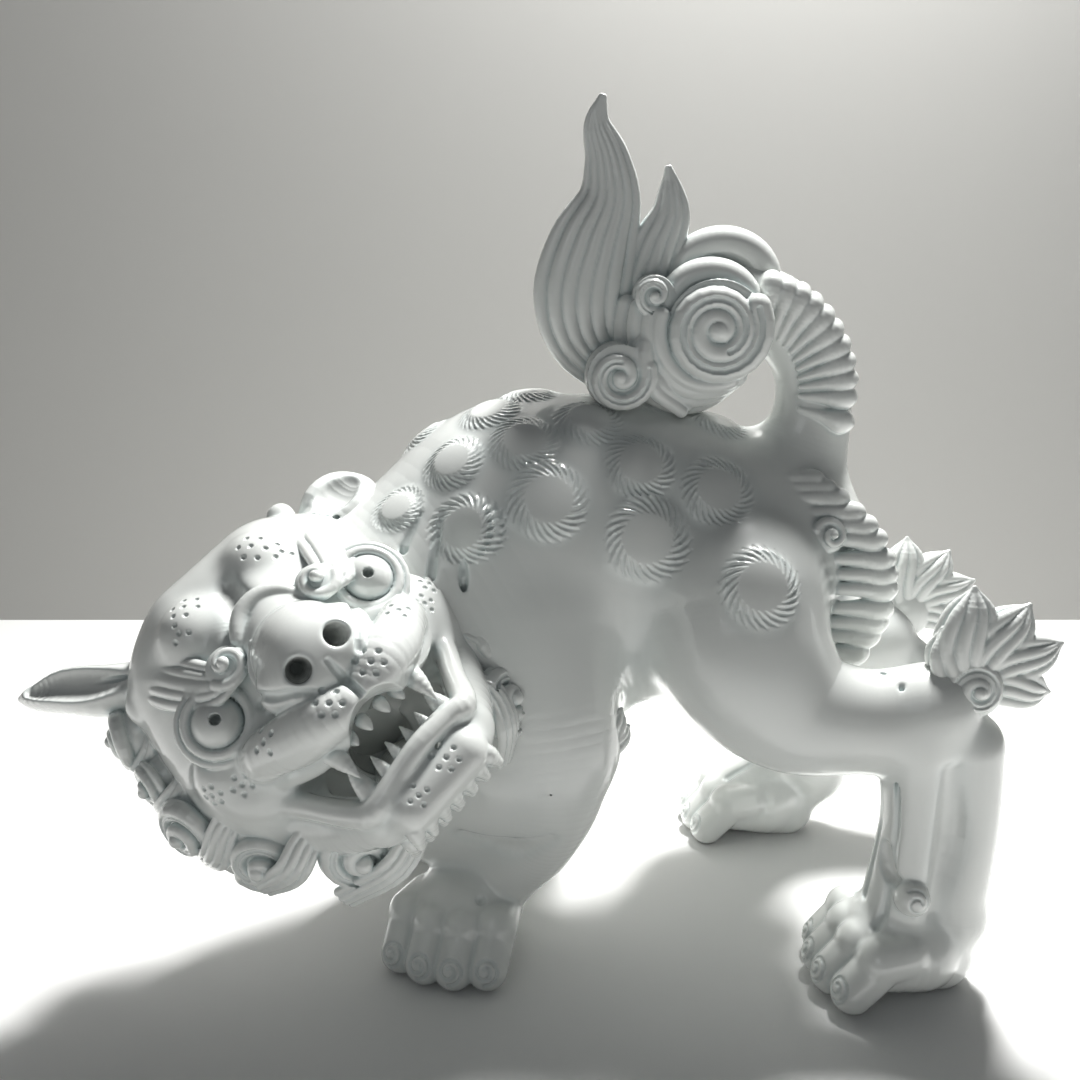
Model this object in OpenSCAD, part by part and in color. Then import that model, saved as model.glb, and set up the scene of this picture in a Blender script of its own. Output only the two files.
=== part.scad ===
// Guardian lion statue in white glazed porcelain, crouching with its head turned and its tail raised.
// Hollow slip-cast shells carry hand-pressed trim, and every piece is luted to its neighbour with slip.
// Head at -X, rump at +X, +Z up, resting on four paws at Z 0.

/* [Casting] */
// Wall of the slip-cast shells
wall = 5; // [4:0.5:6]
// Diameter of the firing vent under the belly
vent_d = 6; // [4:0.5:8]
// Rings between two stations of a cast form
ring_steps = 2; // [2:1:4]

/* [Body] */
// Half width of the rib cage
rib_half_w = 49; // [46:0.5:52]
// Half height of the chest
rib_half_h = 80; // [78:0.5:82]
// Height of the spine over the loins
spine_z = 218; // [216:0.5:220]
// Side spread of the paws from the middle
stance = 64; // [62:0.5:66]

/* [Head] */
// Half width of the skull
skull_half_w = 60; // [57:0.5:62]
// Nod of the head about its own cross axis
head_nod = -50; // [-54:1:-46]
// Tilt of the head towards its left shoulder
head_tilt = -35; // [-39:1:-31]
// Turn of the head towards the viewer
head_turn = 36; // [32:1:40]
// Radius of an eyeball
eye_r = 9.5; // [8.5:0.5:10]
// Side spread of the eyes from the middle of the face
eye_side = 35; // [33:0.5:36]

/* [Hair] */
// Radius of a full mane curl
curl_r = 15; // [13:0.5:16]
// Radius of the large scroll on the tail
scroll_r = 22; // [20:0.5:23]
// Height of the tall tail flame above the scrolls
flame_h = 84; // [78:1:86]

/* [Hidden] */

porcelain = [0.93, 0.94, 0.93];

// The statue's box is centred on the origin by this shift.
frame_shift = [-4.9, 19.5, 0];
near = -1;
far = 1;
left = 1;
right = -1;
sides = 16;
blend_fn = 14;
trim_fn = 10;
lock_fn = 8;
head_at = [-81, -68, 130];

// ---------- cast forms ----------

function unit(v) = v / norm(v);

// A station is [x, y, z, half width, half height]; this eases from one station to the next.
function eased(a, b, c, d, t) =
    0.5 * (2 * b + (c - a) * t + (2 * a - 5 * b + 4 * c - d) * t * t + (3 * b - a - 3 * c + d) * t * t * t);

function stations(rows, steps) = [
    for (i = [0 : len(rows) - 2], k = [0 : steps - 1])
        eased(rows[max(i - 1, 0)], rows[i], rows[i + 1], rows[min(i + 2, len(rows) - 1)], k / steps),
    rows[len(rows) - 1]
];

function middle(row) = [row[0], row[1], row[2]];

// One closed ring of a form, its width along side. It is square to the form's path, or to a facing if one is given.
function ring(rows, i, side, count, shrink, facing = undef) =
    let (
        ahead = is_undef(facing)
            ? unit(middle(rows[min(i + 1, len(rows) - 1)]) - middle(rows[max(i - 1, 0)]))
            : facing,
        across = unit(side - (side * ahead) * ahead),
        over = cross(ahead, across),
        half_w = max(rows[i][3] - shrink, 0.4),
        half_h = max(rows[i][4] - shrink, 0.4)
    )
    [for (k = [0 : count - 1])
        let (turn = 360 * k / count)
        middle(rows[i]) + half_w * cos(turn) * across + half_h * sin(turn) * over];

// Closes a list of rings into a solid with a flat cap at each end.
module skin(rings) {
    count = len(rings[0]);
    points = [for (r = rings, p = r) p];
    last = len(rings) - 1;
    walls = [for (i = [0 : last - 1], k = [0 : count - 1])
        let (a = i * count + k, b = i * count + (k + 1) % count)
        each [[a, a + count, b], [b, a + count, b + count]]];
    caps = [[for (k = [0 : count - 1]) k], [for (k = [count - 1 : -1 : 0]) last * count + k]];
    polyhedron(points, concat(walls, caps));
}

// A solid form along its stations.
module cast(rows, side = [0, 1, 0], steps = ring_steps, count = sides) {
    full = stations(rows, steps);
    skin([for (i = [0 : len(full) - 1]) ring(full, i, side, count, 0)]);
}

// A hollow form, closed at its first station and open at its last.
module cast_shell(rows, side = [0, 1, 0], steps = ring_steps, facing = undef) {
    full = stations(rows, steps);
    last = len(full) - 1;
    inner = [for (i = [0 : last]) if (min(full[i][3], full[i][4]) > 2 * wall) i];
    skin([
        for (i = [0 : last]) ring(full, i, side, sides, 0, facing),
        for (k = [len(inner) - 1 : -1 : 1]) ring(full, inner[k], side, sides, wall, facing)
    ]);
}

module ball(at, r, fn = blend_fn) translate(at) sphere(r, $fn = fn);

// Two balls drawn together into one mass.
module mass(a, ra, b, rb, fn = blend_fn) hull() {
    ball(a, ra, fn);
    ball(b, rb, fn);
}

// A snail-shell curl: a low dome of ringed steps, rising along +Z from the surface that it is luted to.
module curl(r, h = 0.62) {
    step = r / 4;
    rotate_extrude($fn = 48)
        polygon(concat(
            [[0, -r * 0.35], [r * 0.82, -r * 0.35]],
            [for (n = [0 : 3], t = [0 : 30 : 150])
                let (mid = r - step * (n + 0.5))
                [mid + step * 0.5 * cos(t), r * h * (n + 0.4) / 4 + step * 0.55 * sin(t)]],
            [[0, r * h * 1.02]]
        ));
}

// A leaf of hair: a flattened flame that leans as it rises.
module flame(rows, side) cast(rows, side, 2, 12);

module in_place() translate(frame_shift) children();

module in_head() in_place() translate(head_at) rotate([head_nod, head_tilt, head_turn]) children();

// ---------- body ----------

// Stations of the body from the rump to the breast.
torso_rows = [
    [137, 0, 160, 9, 9],
    [131, 0, 161, 25, 25],
    [116, 0, 163, 37, 40],
    [92, 0, 164, 43, 51],
    [62, 0, spine_z - 57, 45, 60],
    [30, 0, spine_z - 54, 46, 64],
    [2, 0, 149, rib_half_w, rib_half_h],
    [-24, -2, 131, rib_half_w + 2, rib_half_h + 9],
    [-44, -5, 116, rib_half_w - 2, rib_half_h + 6],
    [-60, -9, 114, rib_half_w - 12, rib_half_h - 12]
];

module torso() color(porcelain) in_place() difference() {
    cast_shell(torso_rows, facing = [-1, 0, 0]);
    translate([46, 0, 90]) cylinder(d = vent_d, h = 40, $fn = 32);
}

module neck() color(porcelain) in_place()
    cast_shell([
        [-98, -62, 138, 30, 32],
        [-88, -52, 136, 44, 46],
        [-72, -34, 134, 50, 52],
        [-52, -17, 138, 50, 59],
        [-34, -8, 142, 47, 60]
    ], [-0.64, 0.76, 0]);

// ---------- legs ----------

// The forearm slants in from the elbow, and inset is how far its foot stands in from the stance.
module front_leg(s, reach, inset) color(porcelain) in_place()
    cast_shell([
        [-26 + reach, s * (64 - inset), 26, 12, 14],
        [-17 + reach, s * (62 - inset * 0.92), 34, 15, 16],
        [-2, s * (58 - inset * 0.55), 54, 17, 18],
        [5, s * (54 - inset * 0.15), 80, 21, 22],
        [0, s * 46, 104, 27, 31],
        [-6, s * 36, 130, 26, 34],
        [-8, s * 26, 146, 19, 28]
    ]);

// The near leg stands upright from its hock, and the far one steps forward.
module hind_leg(s, hock, heel) color(porcelain) in_place()
    cast_shell([
        [heel.x, s * heel.y, heel.z - 10, 12, 17],
        [heel.x, s * heel.y, heel.z, 16, 23],
        [(heel.x + hock.x) / 2 + 1, s * (heel.y + hock.y) / 2, (heel.z + hock.z) / 2, 16, 21],
        [hock.x - 3, s * hock.y, hock.z - 12, 17, 21],
        [hock.x - 12, s * (hock.y - 1), hock.z + 2, 18, 20],
        [hock.x - 34, s * (hock.y - 3), hock.z, 19, 21],
        [hock.x - 58, s * (hock.y - 7), hock.z + 3, 23, 26],
        [hock.x - 77, s * (hock.y - 12), hock.z + 20, 27, 32],
        [hock.x - 80, s * (hock.y - 20), hock.z + 42, 27, 34],
        [hock.x - 76, s * (hock.y - 30), hock.z + 60, 20, 28]
    ], [0, 1, 0], 2);

near_inset = 29;
far_inset = 12;
near_hock = [158, 59, 112];
near_heel = [154, 58, 32];
far_hock = [176, 68, 98];
far_heel = [131, 71, 32];

// A paw points along +X from its heel, with a flat sole at Z 0 and a hollow that opens up into the leg.
module paw() difference() {
    intersection() {
        union() {
            mass([-17, 0, 12], 15, [2, 0, 19], 20, blend_fn);
            for (s = [-1, 1]) mass([-6, s * 7, 18], 16, [8, s * 10, 18], 14, trim_fn);
            for (k = [-1.5 : 1 : 1.5]) {
                tip = 30 - 4 * abs(k);
                mass([tip - 20, 11.5 * k, 24 - 2 * abs(k)], 10, [tip - 10, 12.5 * k, 20], 9.5, trim_fn);
                mass([tip - 10, 12.5 * k, 18], 9, [tip, 12.5 * k, 7.5], 8.5, trim_fn);
            }
        }
        translate([-45, -45, 0]) cube([90, 90, 60]);
    }
    mass([-10, 0, 19], 13, [-12, 0, 46], 10, trim_fn);
}

module placed_paw(at, heading) color(porcelain) in_place() translate(at) rotate([0, 0, heading]) paw();

module spur(at) color(porcelain) in_place() translate(at) sphere(6.5, $fn = 40);

// The leaves of a hair tuft fan out in the XZ plane: [lean from upright, reach, half width] as shares of the size.
module leaves(size, fan, thick)
    for (leaf = fan)
        let (
            lean = leaf[0], reach = leaf[1] * size, half = leaf[2] * size,
            root = [reach * 0.22 * sin(lean - 14), 0, reach * 0.22 * cos(lean - 14)],
            waist = [reach * 0.6 * sin(lean - 6), thick * 0.05, reach * 0.6 * cos(lean - 6)],
            tip = [reach * sin(lean), thick * 0.1, reach * cos(lean)]
        ) {
            mass(root, half, waist, half * 0.75, lock_fn);
            mass(waist, half * 0.75, tip, 1, lock_fn);
        }

hock_fan = [[-28, 1.05, 0.25], [-2, 1.5, 0.3], [34, 1.5, 0.29], [66, 1.4, 0.27], [98, 1.15, 0.25]];
elbow_fan = [[-14, 1.3, 0.26], [8, 1.5, 0.26], [30, 1.2, 0.25], [52, 1, 0.24]];

module beside_hock(s, hock) in_place()
    translate([hock.x + 4, s * (hock.y + 3), hock.z + 18]) mirror([0, s > 0 ? 1 : 0, 0]) children();

module hock_tuft(s, hock) color(porcelain) beside_hock(s, hock) leaves(25, hock_fan, 13);

module hock_curl(s, hock) color(porcelain) beside_hock(s, hock)
    translate([0, -5, 0]) rotate([90, 0, 0]) curl(12, 0.55);

module elbow_tuft(s) color(porcelain) in_place()
    translate([22, s * 55, 96]) mirror([0, s > 0 ? 1 : 0, 0]) rotate([0, 0, 25]) leaves(18, elbow_fan, 9);

// A row of rounded locks along a line of stations, each lock leaning outwards.
module locks(rows, out, length) {
    full = stations(rows, 2);
    for (i = [1 : len(full) - 2])
        let (
            ahead = unit(middle(full[i + 1]) - middle(full[i - 1])),
            tip = middle(full[i]) + unit(out + 0.5 * ahead) * length
        )
        mass(middle(full[i]) - out * 2, full[i][3], tip, full[i][4], lock_fn);
}

module rump_fringe(s) color(porcelain) in_place()
    locks([
        [112, s * 21, 196, 6, 3.5],
        [124, s * 26, 188, 6.5, 4],
        [134, s * 28, 176, 7, 4],
        [139, s * 28, 160, 7, 4],
        [136, s * 27, 144, 6.5, 3.5],
        [129, s * 26, 130, 6, 3]
    ], [0.8, s * 0.4, 0.3], 7);

// ---------- tail ----------

tail_rows = [
    [94, 0, 184, 18, 22],
    [104, 0, 200, 17, 20],
    [111, 0, 222, 14, 16],
    [109, 0, 244, 13, 15],
    [98, 0, 260, 14, 16],
    [82, 0, 266, 17, 17],
    [66, 0, 262, 18, 17]
];

module tail_stem() color(porcelain) in_place() cast_shell(tail_rows);

module tail_fringe() color(porcelain) in_place()
    for (s = [-1, 1])
        locks([
            [96, s * 9, 274, 5, 3],
            [108, s * 9, 268, 5.5, 3.5],
            [118, s * 9, 256, 6, 3.5],
            [123, s * 9, 240, 6, 3.5],
            [123, s * 9, 224, 5.5, 3]
        ], [0.8, s * 0.3, 0.35], 5);

// A rolled lock whose two ends show as snail curls.
module scroll(r, half_w) {
    rotate([90, 0, 0]) cylinder(r = r * 0.94, h = half_w * 2, center = true, $fn = 64);
    for (s = [-1, 1]) translate([0, s * half_w, 0]) rotate([-s * 90, 0, 0]) curl(r, 0.3);
}

module tail_large_scroll() color(porcelain) in_place() translate([68, 0, 258]) scroll(scroll_r, 22);
module tail_low_scroll() color(porcelain) in_place() translate([31, 0, 240]) scroll(scroll_r * 0.66, 24);
module tail_small_scroll() color(porcelain) in_place() translate([44, 0, 271]) scroll(scroll_r * 0.4, 20);

module barrel(at, r, half_w, fat) translate(at) rotate([90, 0, 0])
    rotate_extrude($fn = 64)
        polygon(concat(
            [[0, -half_w]],
            [for (t = [-80 : 20 : 80]) [r - fat + fat * cos(t), half_w * sin(t)]],
            [[0, half_w]]
        ));

module tail_rolls() color(porcelain) in_place() {
    barrel([74, 0, 280], 20, 17, 6);
    barrel([62, 0, 272], 14, 20, 6);
    barrel([50, 0, 250], 20, 20, 7);
}

module tail_tall_flame() color(porcelain) in_place()
    flame([
        [40, 0, 246, 14, 11],
        [23, 0, 252, 17, 15],
        [18, 0, 270, 17, 18],
        [20, 0, 290, 14, 17],
        [27, 0, 262 + 0.53 * flame_h, 11, 12],
        [26, 0, 262 + 0.71 * flame_h, 8, 8.5],
        [22, 0, 262 + 0.88 * flame_h, 5, 5],
        [23, 0, 262 + flame_h, 1, 1]
    ], [0, 1, 0]);

module tail_short_flame() color(porcelain) in_place()
    flame([
        [46, 0, 262, 11, 10],
        [44, 0, 276, 12, 10],
        [50, 0, 294, 9, 8],
        [52, 0, 308, 6, 6],
        [50, 0, 320, 1, 1]
    ], [0, 1, 0]);

// ---------- head ----------
// In the head's own axes +X is its left, -Y is forward and +Z is its crown.

module skull() color(porcelain) in_head() difference() {
    union() {
        mass([0, 8, 14], 50, [0, 16, 2], 48);
        for (s = [left, right]) {
            mass([s * 24, 4, 34], 30, [s * (skull_half_w - 32), 8, 0], 33);
            mass([s * 15, -24, 43], 15, [s * 22, -8, 46], 17);
            mass([s * 38, -10, -10], 20, [s * 36, 4, -24], 18);
            mass([s * 26, -24, -6], 16, [s * 32, -14, -14], 16);
        }
        mass([-15, -10, 46], 18, [15, -10, 46], 18);
        mass([0, -28, 12], 19, [0, -36, -4], 19);
    }
    // Open back, where the head is luted to the neck, and the hollow behind the face.
    mass([0, 14, 14], 43, [0, 76, -4], 36);
    for (s = [left, right]) mass([s * 24, 8, 26], 24, [s * 26, 10, -2], 25);
    // The mouth, from the lips to the gullet.
    mass([0, -62, -46], 20, [0, -26, -38], 17);
    mass([-16, -20, -38], 15, [16, -20, -38], 15);
    mass([0, -22, -36], 15, [0, 10, -28], 12);
}

module nose() color(porcelain) in_head() difference() {
    union() {
        mass([0, -44, -4], 18, [0, -50, -10], 17);
        for (s = [left, right]) mass([s * 7, -54, -12], 12, [s * 12, -50, -10], 11);
    }
    for (s = [left, right])
        translate([s * 7, -70, -13]) rotate([-90, 0, s * -16]) cylinder(r1 = 3.6, r2 = 2.2, h = 16, $fn = 24);
}

module lip_pad(s) color(porcelain) in_head() hull() {
    ball([s * 9, -54, -26], 9);
    ball([s * 20, -48, -24], 10.5);
    ball([s * 29, -38, -19], 9);
}

// The jaw hangs open: a bowl with a raised lip and two corners.
module lower_jaw() color(porcelain) in_head() difference() {
    union() {
        for (s = [left, right]) {
            mass([s * 42, -8, -20], 7, [s * 36, -20, -36], 8);
            mass([s * 36, -20, -36], 8, [s * 23, -40, -58], 6.5);
            mass([s * 24, -10, -40], 15, [s * 16, -26, -54], 13);
        }
        mass([-23, -40, -58], 6.5, [23, -40, -58], 6.5);
        mass([-12, -36, -64], 9, [12, -36, -64], 9);
    }
    mass([-12, -22, -36], 15, [-8, -34, -48], 12);
    mass([12, -22, -36], 15, [8, -34, -48], 12);
}

module tongue() color(porcelain) in_head() cast([
    [0, 4, -40, 9, 4],
    [0, -10, -46, 13, 5],
    [0, -22, -51, 12, 5],
    [0, -32, -55, 8, 4],
    [0, -37, -56, 3, 2]
], [1, 0, 0], 2, 16);

module tooth(at, r, h, pitch, yaw = 0) translate(at) rotate([pitch, 0, yaw])
    cylinder(r1 = r, r2 = 0.5, h = h, $fn = 24);

module upper_teeth() color(porcelain) in_head() {
    for (s = [left, right]) {
        tooth([s * 19, -44, -29], 4.5, 17, 176);
        for (k = [0 : 1]) tooth([s * (4 + 7 * k), -50 + 2 * k, -30], 2.6, 7, 178);
    }
}

module lower_teeth() color(porcelain) in_head() {
    for (s = [left, right]) {
        tooth([s * 20, -39, -55], 4, 16, 6);
        for (k = [0 : 1]) tooth([s * (4 + 8 * k), -42, -54], 3, 10, 4);
    }
}

module chin_beard() color(porcelain) in_head()
    for (k = [-1.5 : 1 : 1.5]) {
        mass([8 * k, -32, -67], 6, [9 * k, -29, -74 + abs(k)], 4, lock_fn);
        mass([10 * k, -20, -64], 7, [12 * k, -15, -71 + 2 * abs(k)], 4, lock_fn);
    }

module eye(s) color(porcelain) in_head() translate([s * eye_side, -31, 6]) sphere(eye_r, $fn = 48);

// The brow sweeps from its snail ball beside the nose up and out over the eye, in four strands.
module brow(s) color(porcelain) in_head() {
    for (k = [0 : 3]) {
        mass([s * (39 + 3 * k), -15 + 2 * k, 49 - 6 * k], 3.5, [s * (34 + 2 * k), -27 + k, 36 - 4 * k], 5, trim_fn);
        mass([s * (34 + 2 * k), -27 + k, 36 - 4 * k], 5, [s * (28 + k), -36, 24 - 3 * k], 5.5, trim_fn);
    }
    mass([s * 28, -36, 21], 6.5, [s * 20, -44, 14], 7.5);
}

module ear_of(rows, hollow_rows) color(porcelain) in_head() difference() {
    cast(rows, [0, 1, 0], 2, 16);
    cast(hollow_rows, [0, 1, 0], 2, 12);
}

// The right ear is flung out and the left one is laid back.
module right_ear() ear_of([
    [-38, 12, 50, 9, 12],
    [-52, 14, 62, 10, 15],
    [-62, 16, 74, 9, 14],
    [-71, 20, 83, 6, 9],
    [-78, 26, 92, 2, 3]
], [
    [-46, 3, 58, 4, 6],
    [-57, 4, 68, 7, 9],
    [-67, 8, 80, 6, 7],
    [-74, 16, 88, 2, 2]
]);

module left_ear() ear_of([
    [38, 10, 42, 9, 12],
    [50, 10, 46, 10, 14],
    [60, 12, 48, 9, 13],
    [70, 16, 49, 6, 9],
    [78, 24, 50, 2, 3]
], [
    [42, 1, 46, 4, 6],
    [54, 1, 48, 7, 9],
    [64, 4, 50, 6, 7],
    [73, 13, 51, 2, 2]
]);

// Mane curls, from the crown down each side of the face and over the nape:
// [name, position, direction that it faces, radius as a share of a full curl].
curls = [
    ["curl_crown_left", [55, 12, 31], [0.8, 0.1, 0.5], 0.8],
    ["curl_temple_left", [62, 6, 9], [0.95, -0.25, 0.1], 0.75],
    ["curl_cheek_left", [64, 6, -13], [0.9, -0.35, -0.15], 0.8],
    ["curl_jaw_left", [54, 6, -33], [0.8, -0.4, -0.4], 0.95],
    ["curl_throat_left", [38, 6, -53], [0.5, -0.45, -0.7], 1],
    ["curl_crown_right", [-56, 16, 42], [-0.85, 0, 0.45], 0.8],
    ["curl_temple_right", [-60, 14, 22], [-0.95, -0.2, 0.15], 0.7],
    ["curl_cheek_right", [-61, 12, 0], [-0.95, -0.25, -0.1], 0.95],
    ["curl_jaw_right", [-54, 10, -28], [-0.75, -0.4, -0.5], 1],
    ["curl_throat_right", [-34, 6, -52], [-0.45, -0.45, -0.75], 1.1],
    ["curl_nape_upper", [0, 34, 54], [0, 0.6, 0.8], 1.1],
    ["curl_nape_left", [34, 46, 34], [0.5, 0.8, 0.4], 1.1],
    ["curl_nape_right", [-36, 44, 34], [-0.5, 0.8, 0.4], 1.1],
    ["curl_nape_lower", [-52, 40, 0], [-0.7, 0.7, 0], 1.1]
];

module placed_curl(at, facing, size) color(porcelain) in_head()
    translate(at) rotate([0, acos(unit(facing).z), atan2(facing.y, facing.x)]) curl(curl_r * size);

// ---------- nodes ----------

torso();
neck();
front_leg(near, 0, near_inset);  // near_front_leg
front_leg(far, -6, far_inset);  // far_front_leg
hind_leg(near, near_hock, near_heel);  // near_hind_leg
hind_leg(far, far_hock, far_heel);  // far_hind_leg
placed_paw([-32, near * (stance - near_inset), 0], 252);  // near_front_paw
placed_paw([-40, far * (stance - far_inset), 0], 150);  // far_front_paw
placed_paw([143, near * (stance - 7), 0], 184);  // near_hind_paw
placed_paw([108, far * (stance + 8), 0], 176);  // far_hind_paw
spur([143, -73, 46]);  // near_hind_spur
spur([122, 85, 44]);  // far_hind_spur
elbow_tuft(near);  // near_elbow_tuft
elbow_tuft(far);  // far_elbow_tuft
hock_tuft(near, near_hock);  // near_hock_tuft
hock_tuft(far, far_hock);  // far_hock_tuft
hock_curl(near, near_hock);  // near_hock_curl
hock_curl(far, far_hock);  // far_hock_curl
rump_fringe(near);  // near_rump_fringe
rump_fringe(far);  // far_rump_fringe
tail_stem();
tail_fringe();
tail_large_scroll();
tail_low_scroll();
tail_small_scroll();
tail_rolls();
tail_tall_flame();
tail_short_flame();
skull();
nose();
lip_pad(left);  // left_lip_pad
lip_pad(right);  // right_lip_pad
lower_jaw();
tongue();
upper_teeth();
lower_teeth();
chin_beard();
eye(left);  // left_eye
eye(right);  // right_eye
brow(left);  // left_brow
brow(right);  // right_brow
left_ear();
right_ear();
for (c = curls)
    placed_curl(c[1], c[2], c[3]);
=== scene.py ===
"""Guardian lion statue in white glazed porcelain.

The statue is modelled as soft clay: rounded links that melt into each other, meshed region by region and
divided into the pieces that the CAD part names. Clay lengths are millimetres, and Blender's are metres."""

import math

import bpy
import numpy as np
from bpy.props import FloatProperty, FloatVectorProperty, PointerProperty
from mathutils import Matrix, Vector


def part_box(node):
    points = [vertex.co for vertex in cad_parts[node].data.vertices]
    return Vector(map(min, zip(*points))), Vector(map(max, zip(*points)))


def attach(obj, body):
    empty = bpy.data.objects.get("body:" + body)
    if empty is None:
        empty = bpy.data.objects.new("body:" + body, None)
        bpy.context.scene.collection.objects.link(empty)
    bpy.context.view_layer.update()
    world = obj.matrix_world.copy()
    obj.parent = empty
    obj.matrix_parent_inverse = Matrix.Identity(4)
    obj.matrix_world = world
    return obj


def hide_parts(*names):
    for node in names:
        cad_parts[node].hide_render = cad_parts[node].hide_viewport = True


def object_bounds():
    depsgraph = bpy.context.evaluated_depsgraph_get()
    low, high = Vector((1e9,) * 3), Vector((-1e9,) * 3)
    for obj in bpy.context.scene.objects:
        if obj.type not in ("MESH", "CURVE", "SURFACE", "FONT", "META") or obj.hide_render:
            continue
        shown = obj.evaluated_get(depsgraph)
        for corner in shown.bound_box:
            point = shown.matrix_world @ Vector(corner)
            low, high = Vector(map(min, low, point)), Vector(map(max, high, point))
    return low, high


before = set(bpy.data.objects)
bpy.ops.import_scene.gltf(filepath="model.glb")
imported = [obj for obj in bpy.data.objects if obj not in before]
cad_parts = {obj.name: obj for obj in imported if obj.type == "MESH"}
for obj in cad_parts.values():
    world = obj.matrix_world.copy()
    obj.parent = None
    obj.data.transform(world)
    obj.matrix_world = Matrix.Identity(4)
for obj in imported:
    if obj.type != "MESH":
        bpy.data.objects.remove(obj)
CAD_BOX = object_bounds()

bl_info = {
    "name": "Guardian Lion Statue",
    "version": (1, 0, 0),
    "blender": (4, 5, 0),
    "location": "View3D > Sidebar > Guardian Lion",
    "description": "Models a crouching porcelain guardian lion and the stage that it stands on",
    "category": "Add Mesh",
}

BODY = "root"
SIDES = {"near": -1, "far": 1}
HANDS = {"left": 1, "right": -1}

# ---------- places ----------


def unit(vector):
    vector = np.asarray(vector, float)
    return vector / np.linalg.norm(vector)


def turned(axis, degrees):
    """The rotation about x, y or z as a 3 x 3 matrix."""
    c = math.cos(math.radians(degrees))
    s = math.sin(math.radians(degrees))
    rows = {
        "x": [[1, 0, 0], [0, c, -s], [0, s, c]],
        "y": [[c, 0, s], [0, 1, 0], [-s, 0, c]],
        "z": [[c, -s, 0], [s, c, 0], [0, 0, 1]],
    }
    return np.array(rows[axis])


class Place:
    """Axes of its own for a group of forms: calling it takes its points into the statue's frame, in mm."""

    def __init__(self, origin=(0, 0, 0), axes=None):
        self.origin = np.asarray(origin, float)
        self.axes = np.eye(3) if axes is None else np.asarray(axes, float)

    def __call__(self, points):
        return self.origin + np.asarray(points, float) @ self.axes.T

    def turn(self, vectors):
        return np.asarray(vectors, float) @ self.axes.T

    def inside(self, at, facing, start):
        """A place within this one: its Z is facing, and its X is start made square to that."""
        z = unit(facing)
        x = unit(np.asarray(start, float) - np.dot(start, z) * z)
        local = np.column_stack([x, np.cross(z, x), z])
        return Place(self(at), self.axes @ local)

    def mirrored(self, s):
        """This place, or its mirror image in Y where s is 1."""
        return Place(self.origin, self.axes @ np.diag([1, -s, 1]))


def cad_box(node):
    """The lowest and highest corners of a CAD node in mm."""
    low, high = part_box(node)
    return np.array(low) * 1000, np.array(high) * 1000


def cad_centre(node):
    low, high = cad_box(node)
    return (low + high) / 2


# ---------- clay ----------

BLOCK = 16
FAR_OFF = 1e3
LATTICE = np.stack(np.meshgrid(*[np.arange(BLOCK + 1)] * 3, indexing="ij"), -1).reshape(-1, 3)
CORNERS = np.array([(i, j, k) for i in (0, 1) for j in (0, 1) for k in (0, 1)])
CELL_EDGES = [(a, b) for a in range(8) for b in range(a + 1, 8) if np.abs(CORNERS[a] - CORNERS[b]).sum() == 1]


def smooth_low(a, b, melt):
    """The lower of two distances, eased over the melt length."""
    low = np.minimum(a, b)
    if melt <= 0:
        return low
    h = np.maximum(melt - np.abs(a - b), 0) / melt
    return low - h * h * h * (melt / 6)


def link_distances(points, links):
    """Signed distances from points to links, one row for each link.

    A link runs from a to b and its radius from ra to rb. It is thinner along its flat axis."""
    a, b = links[:, 0:3], links[:, 3:6]
    ra, rb = links[:, 6:7], links[:, 7:8]
    flat, thin = links[:, 8:11], links[:, 11]
    ab = b - a
    length2 = (ab * ab).sum(1, keepdims=True) + 1e-9
    along = ab @ points.T - (a * ab).sum(1, keepdims=True)
    t = np.clip(along / length2, 0, 1)
    out2 = (points * points).sum(1)[None] - 2 * (a @ points.T) + (a * a).sum(1, keepdims=True)
    out2 = np.maximum(out2 - 2 * t * along + t * t * length2, 1e-9)
    radius = ra + t * (rb - ra)
    distances = np.sqrt(out2) - radius
    rows = np.flatnonzero(thin < 0.999)
    if len(rows):
        side = flat[rows] @ points.T - (a * flat).sum(1, keepdims=True)[rows]
        side = side - t[rows] * (ab * flat).sum(1, keepdims=True)[rows]
        side2 = side * side
        squash = thin[rows][:, None]
        near = np.sqrt(out2[rows] + (squash**-2 - 1) * side2)
        scale = np.sqrt(out2[rows] + (squash**-4 - 1) * side2)
        distances[rows] = near * (near - radius[rows]) / scale
    return distances


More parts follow.
